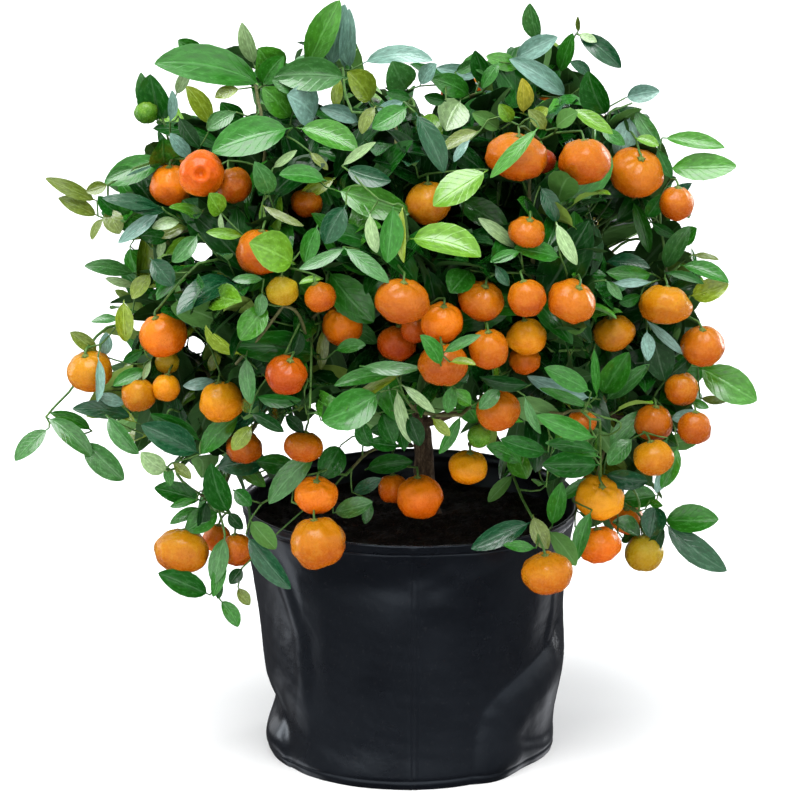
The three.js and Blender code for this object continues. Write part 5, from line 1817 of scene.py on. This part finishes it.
# folds of the film: the line (azimuth, height), its depth in mm on the left of the way it runs,
# how wide the step is, how far it takes to fade, and whether each end dies away
FOLDS = [
    ([(358, 112), (346, 98), (332, 86), (318, 76), (307, 66), (300, 54), (297, 34), (296, 2)], 4.8, -22.0, 24.0, 1, 0),
    ([(262, 181), (266, 175), (269, 165), (272, 160), (277, 163), (284, 171), (293, 177)], -2.4, 8.0, 22.0, 1, 1),
    ([(312, 182), (298, 172), (286, 160), (279, 146), (276, 128)], 1.6, 8.0, 30.0, 1, 1),
    ([(203, 178), (206, 150), (210, 132), (216, 112), (222, 92), (227, 70)], -0.7, 7.0, 14.0, 1, 1),
    ([(208, 176), (212, 150), (216, 128), (219, 104), (220, 74), (218, 50)], 1.4, 5.0, 9.0, 1, 1),
    ([(214, 176), (218, 150), (222, 128), (225, 104), (226, 74), (224, 44)], -1.6, 4.5, 16.0, 1, 1),
    ([(196, 60), (203, 42), (207, 24), (212, 2)], -2.0, 6.5, 22.0, 1, 0),
    ([(336, 176), (338, 140), (340, 118), (337, 98), (335, 84)], 1.7, 3.5, 14.0, 1, 1),
    ([(352, 160), (347, 128), (345, 104), (343, 70)], -1.1, 4.0, 12.0, 1, 1),
    ([(316, 30), (324, 20), (338, 14), (352, 12)], -2.2, 5.0, 16.0, 1, 1),
    ([(240, 150), (246, 110), (247, 70)], 0.8, 9.0, 34.0, 1, 1),
    ([(8, 168), (22, 140), (30, 104), (28, 62), (34, 2)], 2.8, 5.0, 28.0, 1, 0),
    ([(52, 120), (66, 100), (72, 70), (70, 30)], -2.4, 5.0, 24.0, 1, 1),
    ([(104, 182), (96, 166), (88, 156), (80, 170), (76, 180)], 2.4, 5.0, 24.0, 1, 1),
    ([(132, 170), (120, 128), (112, 92), (116, 50), (112, 2)], 2.8, 5.0, 30.0, 1, 0),
    ([(140, 140), (150, 104), (146, 66)], -2.0, 5.0, 20.0, 1, 1),
    ([(176, 172), (166, 140), (164, 100), (170, 60)], 2.0, 5.0, 22.0, 1, 1),
]
# flat places between soft upright corners, as the film pulls straight: azimuth, half width, depth, heights
FACETS = [(244, 19, 2.6, 12, 172), (283, 19, 2.0, 0, 150), (52, 20, 2.4, 20, 170), (96, 18, 2.0, 10, 160), (146, 20, 2.4, 14, 172)]
# where the filled film bulges or draws in: azimuth, height, half sizes, depth
SWELLS = [
    (186, 34, 22, 15.5, -8.6), (188, 21, 20, 12, 2.6), (178, 128, 26, 36, 1.0), (354, 52, 20, 26, 2.8), (0, 92, 20, 40, 2.6),
    (195, 0, 26, 9, -1.5), (322, 0, 22, 12, -5.5), (40, 0, 24, 10, -5.0), (110, 0, 26, 10, -6.0), (150, 0, 14, 8, -4.0),
]


def film_radius(az, z):
    az, z = np.broadcast_arrays(np.asarray(az, float), np.asarray(z, float))
    r = pot_radius(az, z)
    for a0, z0, w, h, d in SWELLS:
        r = r + d * np.exp(-((wrap(az - a0) / w) ** 2) - ((z - z0) / h) ** 2)
    for a0, w, d, z0, z1 in FACETS:
        u = np.clip(1 - (wrap(az - a0) / w) ** 2, 0, 1)
        r = r - d * u * step(z0 - 14, z0 + 22, z) * (1 - step(z1 - 26, z1 + 8, z))
    for pts, depth, sharp, soft, end0, end1 in FOLDS:
        d, t = along(az, z, pts)
        if sharp > 0:
            f = step(-sharp, sharp, d) * np.exp(-((np.maximum(d, 0) / soft) ** 2))
        else:  # a crease that rises at once and rounds over
            f = (1 - (1 - np.clip(-d / sharp, 0, 1)) ** 2) * np.exp(-((np.maximum(d + sharp, 0) / soft) ** 2))
        if end0:
            f = f * step(-0.04, 0.22, t)
        if end1:
            f = f * (1 - step(0.78, 1.04, t))
        r = r + depth * f
    q = np.stack([np.cos(np.radians(az)) * 110, np.sin(np.radians(az)) * 110, z], -1).reshape(-1, 3)
    r = r + (0.45 * waves(q * vec(1, 1, 0.45), 61, 60, 2)).reshape(np.shape(r))
    r = r + (0.13 * waves(q, 62, 15, 2)).reshape(np.shape(r))
    return r + 3.4 * np.exp(-((z / (19 + 17 * np.exp(-((wrap(az - 268) / 38) ** 2)))) ** 2)) - 1.2 * (1 - step(0, 6, z)) ** 2


def hem(az, z):
    """What the folded rim, the stitched foot and the side seams add, in mm."""
    add = 0.8 * step(182.4, 183.4, z) * (1 - step(188.6, 189, z))
    add = add - 0.6 * np.exp(-(((z - 181.9) / 0.6) ** 2))
    add = add - 0.5 * np.exp(-(((z - 6.5) / 1.1) ** 2))
    for seam in (271.0, 91.0):
        x = np.radians(wrap(az - seam)) * 112
        add = add + 0.55 * step(-3.4, -2.7, x) * (1 - step(2.7, 3.4, x)) - 0.45 * np.exp(-((x / 0.7) ** 2)) * (z < 181)
    return add


AZ = np.arange(0, 360, 1.25)
AZ = np.sort(np.concatenate([AZ, [271 + d for d in (-3.4, -2.2, -1.6, -0.4, 0.0, 0.4, 1.6, 2.2, 3.4)], [91 + d for d in (-3.4, -2.2, -1.6, -0.4, 0.0, 0.4, 1.6, 2.2, 3.4)]]))
AZ = AZ[np.concatenate([[True], np.diff(AZ) > 0.12])]
ZO = np.concatenate([[0.0, 0.5, 1.4, 2.6, 3.8, 4.8, 5.8, 6.5, 7.2, 8.2], np.arange(9.8, 179, 2.0), [179.8, 180.8, 181.4, 181.9, 182.4, 183.0, 183.6, 185, 186.8, 188.0]])
rings = []


def ring_at(az, z, r):
    lift = rim_lift(az) * step(60, 189, z)
    a = np.radians(az)
    return np.stack([r * np.cos(a), r * np.sin(a), z + lift], -1)


for z in ZO:
    zz = np.full(len(AZ), z)
    rings.append(ring_at(AZ, zz, film_radius(AZ, zz) + hem(AZ, zz)))
# the rim is rolled over into a narrow bead
rt = film_radius(AZ, np.full(len(AZ), 188.5))
for dz, dr in ((188.7, 1.0), (189.3, 0.8), (189.7, 0.2), (189.7, -0.7), (189.3, -1.5), (188.6, -1.9)):
    rings.append(ring_at(AZ, np.full(len(AZ), dz), rt + dr))
for z in (187.4, 185, 183.6, 182.2, 180, 176, 171, 165, 158, 150, 135, 120, 100, 80, 60, 45, 34, 26, 20, 14, 9, 6, 3.0):
    zz = np.full(len(AZ), z)
    rings.append(ring_at(AZ, zz, film_radius(AZ, zz) - 1.7 - (0.6 if z > 183 else 0)))
rings.append(ring_at(AZ, np.full(len(AZ), 3.0), np.full(len(AZ), 40.0)))
pot_v = np.concatenate(rings)
nr = len(rings)
pot_f = grid_faces(nr, len(AZ))
c0, c1 = len(pot_v), len(pot_v) + 1
i = np.arange(len(AZ))
bot = np.stack([(i + 1) % len(AZ), i, np.full(len(AZ), c0)], 1)
lastr = (nr - 1) * len(AZ)
floor_in = np.stack([lastr + i, lastr + (i + 1) % len(AZ), np.full(len(AZ), c1)], 1)
# the underside is stepped in a little inside the foot, as film pots are
pot_v = np.concatenate([pot_v, [[0, 0, 0.0]], [[0, 0, 3.0]]])
pot_t = np.concatenate([bot, floor_in])
make_piece("pot_film", pot_v, np.concatenate([pot_f.ravel(), pot_t.ravel()]), np.concatenate([np.full(len(pot_f), 4), np.full(len(pot_t), 3)]),
           [film], replaces=["pot"], slot="film")

# ------------------------------------------------------------------ compost
compost = soil_material()
sr = np.concatenate([np.linspace(0, 112, 60)])
sa = np.arange(0, 360, 2.0)
A, Rr = np.meshgrid(sa, sr[1:])
edge = film_radius(sa, np.full(len(sa), 168.0)) - 2.0
rad = Rr * (edge / 112)[None]
xx, yy = rad * np.cos(np.radians(A)), rad * np.sin(np.radians(A))
p = np.stack([xx, yy, np.zeros_like(xx)], -1).reshape(-1, 3)
dist = np.hypot(p[:, 0] - 11, p[:, 1] - 28)
z = 168 + 3.0 * (1 - step(14, 90, dist)) + 1.7 * waves(p, 71, 26, 2) + 1.6 * np.abs(waves(p, 72, 9, 3)) + 0.8 * waves(p, 73, 4, 2)
z = z - 1.2
z = np.where(dist < 16, 170.3 + 0.5 * waves(p, 74, 6, 2), z)
p[:, 2] = z
rings_n = len(sr) - 1
centre = np.array([[0, 0, 170.0]])
side = []
for zz in (162, 150, 120, 80, 40, 14, 4.0):
    rr = film_radius(sa, np.full(len(sa), float(zz))) - (2.2 if zz > 161 else 5.0)
    side.append(np.stack([rr * np.cos(np.radians(sa)), rr * np.sin(np.radians(sa)), np.full(len(sa), float(zz))], -1))
sv = np.concatenate([p] + side + [centre, [[0, 0, 4.0]]])
sf = grid_faces(rings_n + len(side), len(sa))[:, ::-1]
n_s = (rings_n + len(side)) * len(sa)
i = np.arange(len(sa))
st = np.concatenate([np.stack([i, (i + 1) % len(sa), np.full(len(sa), n_s)], 1),
                     np.stack([n_s - len(sa) + (i + 1) % len(sa), n_s - len(sa) + i, np.full(len(sa), n_s + 1)], 1)])
# crumbs and bits of bark lying in it
rng = np.random.default_rng(75)
ico = np.array([[0, 0, 1], [0.89, 0, 0.45], [0.28, 0.85, 0.45], [-0.72, 0.53, 0.45], [-0.72, -0.53, 0.45], [0.28, -0.85, 0.45],
                [0.72, 0.53, -0.45], [-0.28, 0.85, -0.45], [-0.89, 0, -0.45], [-0.28, -0.85, -0.45], [0.72, -0.53, -0.45], [0, 0, -1]])
icf = np.array([[0, 1, 2], [0, 2, 3], [0, 3, 4], [0, 4, 5], [0, 5, 1], [1, 6, 2], [2, 7, 3], [3, 8, 4], [4, 9, 5], [5, 10, 1],
                [2, 6, 7], [3, 7, 8], [4, 8, 9], [5, 9, 10], [1, 10, 6], [11, 7, 6], [11, 8, 7], [11, 9, 8], [11, 10, 9], [11, 6, 10]])
cv, cf = [], []
off = len(sv)
for _ in range(520):
    r = 108 * math.sqrt(rng.random())
    a = rng.uniform(0, 2 * np.pi)
    x, y = r * math.cos(a), r * math.sin(a)
    if math.hypot(x - 11, y - 28) < 15:
        continue
    j = np.argmin((p[:, 0] - x) ** 2 + (p[:, 1] - y) ** 2)
    s = rng.uniform(0.9, 3.4)
    shape = vec(1, rng.uniform(0.5, 1), rng.uniform(0.3, 0.7)) * s
    c, sn = math.cos(a * 7), math.sin(a * 7)
    q = ico * shape * rng.uniform(0.75, 1.15, (12, 1))
    q = np.stack([q[:, 0] * c - q[:, 1] * sn, q[:, 0] * sn + q[:, 1] * c, q[:, 2] + q[:, 0] * rng.uniform(-0.3, 0.3)], -1)
    cv.append(q + vec(x, y, p[j, 2] + shape[2] * 0.35))
    cf.append(icf + off)
    off += 12
sv = np.concatenate([sv] + cv)
st = np.concatenate([st] + cf)
make_piece("compost_in_pot", sv, np.concatenate([sf.ravel(), st.ravel()]), np.concatenate([np.full(len(sf), 4), np.full(len(st), 3)]),
           [compost], replaces=["soil"], slot="compost")

# ------------------------------------------------------------------ floor, light and camera
bpy.ops.mesh.primitive_plane_add(size=40, location=(0, 0, 0))
floor = bpy.context.object
floor.name = "floor"
fm, t, b = material("studio_floor")
nz = node(t, "ShaderNodeTexNoise", Scale=3.0, Detail=2.0)
link(t, ramp(t, nz.outputs["Fac"], [(0.3, (0.72, 0.72, 0.72)), (0.7, (0.74, 0.74, 0.74))]), b.inputs["Base Color"])
b.inputs["Roughness"].default_value = 0.85
b.inputs["Specular IOR Level"].default_value = 0.1
b.inputs["Emission Color"].default_value = (1, 1, 1, 1)
b.inputs["Emission Strength"].default_value = 0.24
floor.data.materials.append(fm)
floor.visible_glossy = False

world = bpy.data.worlds.new("studio")
bpy.context.scene.world = world
world.use_nodes = True
wt = world.node_tree
co = wt.nodes.new("ShaderNodeTexCoord")
sp = wt.nodes.new("ShaderNodeSeparateXYZ")
wt.links.new(co.outputs["Generated"], sp.inputs[0])
sky = ramp(wt, maths(wt, "ADD", maths(wt, "MULTIPLY", sp.outputs[2], 0.5), 0.5),
           [(0.0, (0.04, 0.04, 0.045)), (0.2, (0.06, 0.06, 0.065)), (0.3, (0.24, 0.245, 0.26)), (0.345, (0.3, 0.305, 0.32)), (0.40, (0.14, 0.143, 0.15)), (0.468, (0.14, 0.143, 0.15)),
            (0.48, (0.95, 0.95, 0.95)), (0.525, (0.95, 0.95, 0.95)), (0.56, (0.17, 0.175, 0.18)), (1.0, (0.2, 0.21, 0.225))])
# white screens low down, behind on the left and on the right, as the shiny film sees them
left = maths(wt, "MULTIPLY", spread(wt, sp.outputs[0], -0.78, -0.5, 1.0, 0.0), spread(wt, sp.outputs[1], 0.02, 0.25, 0.0, 1.0))
left = maths(wt, "MULTIPLY", left, spread(wt, sp.outputs[1], 0.78, 0.92, 1.0, 0.0))
left = maths(wt, "MULTIPLY", left, spread(wt, sp.outputs[1], 0.42, 0.58, 1.0, 0.55))
right = maths(wt, "MULTIPLY", spread(wt, sp.outputs[0], 0.2, 0.4, 0.0, 1.0), spread(wt, sp.outputs[1], 0.5, 0.75, 0.0, 1.0))
# under the horizon it is darker behind than in front
behind = maths(wt, "MULTIPLY", spread(wt, sp.outputs[1], -0.2, 0.5, 0.0, 0.85), spread(wt, sp.outputs[2], -0.06, -0.05, 1.0, 0.0))
sky = mix(wt, behind, sky, (0.05, 0.05, 0.055))
low = maths(wt, "MULTIPLY", maths(wt, "ADD", left, right, True), spread(wt, sp.outputs[2], -0.47, -0.36, 1.0, 0.0))
sky = mix(wt, low, sky, (1.5, 1.53, 1.6))
# and one high on the right, towards the camera
side = maths(wt, "MULTIPLY", spread(wt, sp.outputs[0], 0.3, 0.55, 0.0, 1.0), spread(wt, sp.outputs[1], 0.0, 0.3, 1.0, 0.0))
side = maths(wt, "MULTIPLY", side, maths(wt, "MULTIPLY", spread(wt, sp.outputs[2], 0.02, 0.14, 0.0, 1.0), spread(wt, sp.outputs[2], 0.55, 0.8, 1.0, 0.0)))
sky = mix(wt, side, sky, (1.0, 1.02, 1.05))
# a tall white backdrop stands behind, and shows in the glossy leaves
wall = maths(wt, "MULTIPLY", spread(wt, sp.outputs[1], 0.1, 0.5, 0.0, 1.0), maths(wt, "SUBTRACT", 1.0, spread(wt, sp.outputs[2], 0.66, 0.88, 0.0, 1.0)))
wall = maths(wt, "MULTIPLY", wall, spread(wt, sp.outputs[2], -0.02, 0.02, 0.0, 1.0))
sky = mix(wt, wall, sky, (1.1, 1.14, 1.2))
wt.links.new(sky, wt.nodes["Background"].inputs[0])
wt.nodes["Background"].inputs[1].default_value = 1.0


def aimed(o, where, aim=(0, 0, 0.3)):
    bpy.context.scene.collection.objects.link(o)
    o.location = where
    o.rotation_mode = "QUATERNION"
    o.rotation_quaternion = (Vector(aim) - Vector(where)).to_track_quat("-Z", "Y")
    return o


def area(name, where, size, watts, colour=(1, 1, 1), aim=(0, 0, 0.3)):
    d = bpy.data.lights.new(name, "AREA")
    d.shape = "RECTANGLE"
    d.size, d.size_y = size
    d.energy = watts
    d.color = colour
    o = aimed(bpy.data.objects.new(name, d), where, aim)
    o.visible_camera = False
    return o


def sun(name, where, spread_deg, power, colour=(1, 1, 1)):
    d = bpy.data.lights.new(name, "SUN")
    d.angle = math.radians(spread_deg)
    d.energy = power
    d.color = colour
    return aimed(bpy.data.objects.new(name, d), where, (0, 0, 0))


sun("top_soft", tuple(LAMP), 48, 3.9, (0.97, 0.99, 1.0))
sun("key_soft", (-0.45, -1.7, 1.75), 118, 1.95, (1.0, 0.985, 0.96))
area("left_strip", (-2.3, 0.65, 0.6), (0.9, 1.3), 16)
area("right_strip", (1.7, 1.6, 0.5), (0.5, 1.3), 28)

cam_data = bpy.data.cameras.new("camera")
cam_data.sensor_width = 36
cam_data.lens = FOCAL * 36 / 800
cam_data.clip_start, cam_data.clip_end = 0.5, 60
cam = bpy.data.objects.new("camera", cam_data)
bpy.context.scene.collection.objects.link(cam)
cam.location = Vector(tuple(EYE * MM))
cam.rotation_mode = "QUATERNION"
cam.rotation_quaternion = (Vector(tuple(AIM * MM)) - cam.location).to_track_quat("-Z", "Y")
bpy.context.scene.camera = cam

sc = bpy.context.scene
sc.view_settings.view_transform = "Standard"
sc.view_settings.look = "None"
sc.view_settings.exposure = 0.0
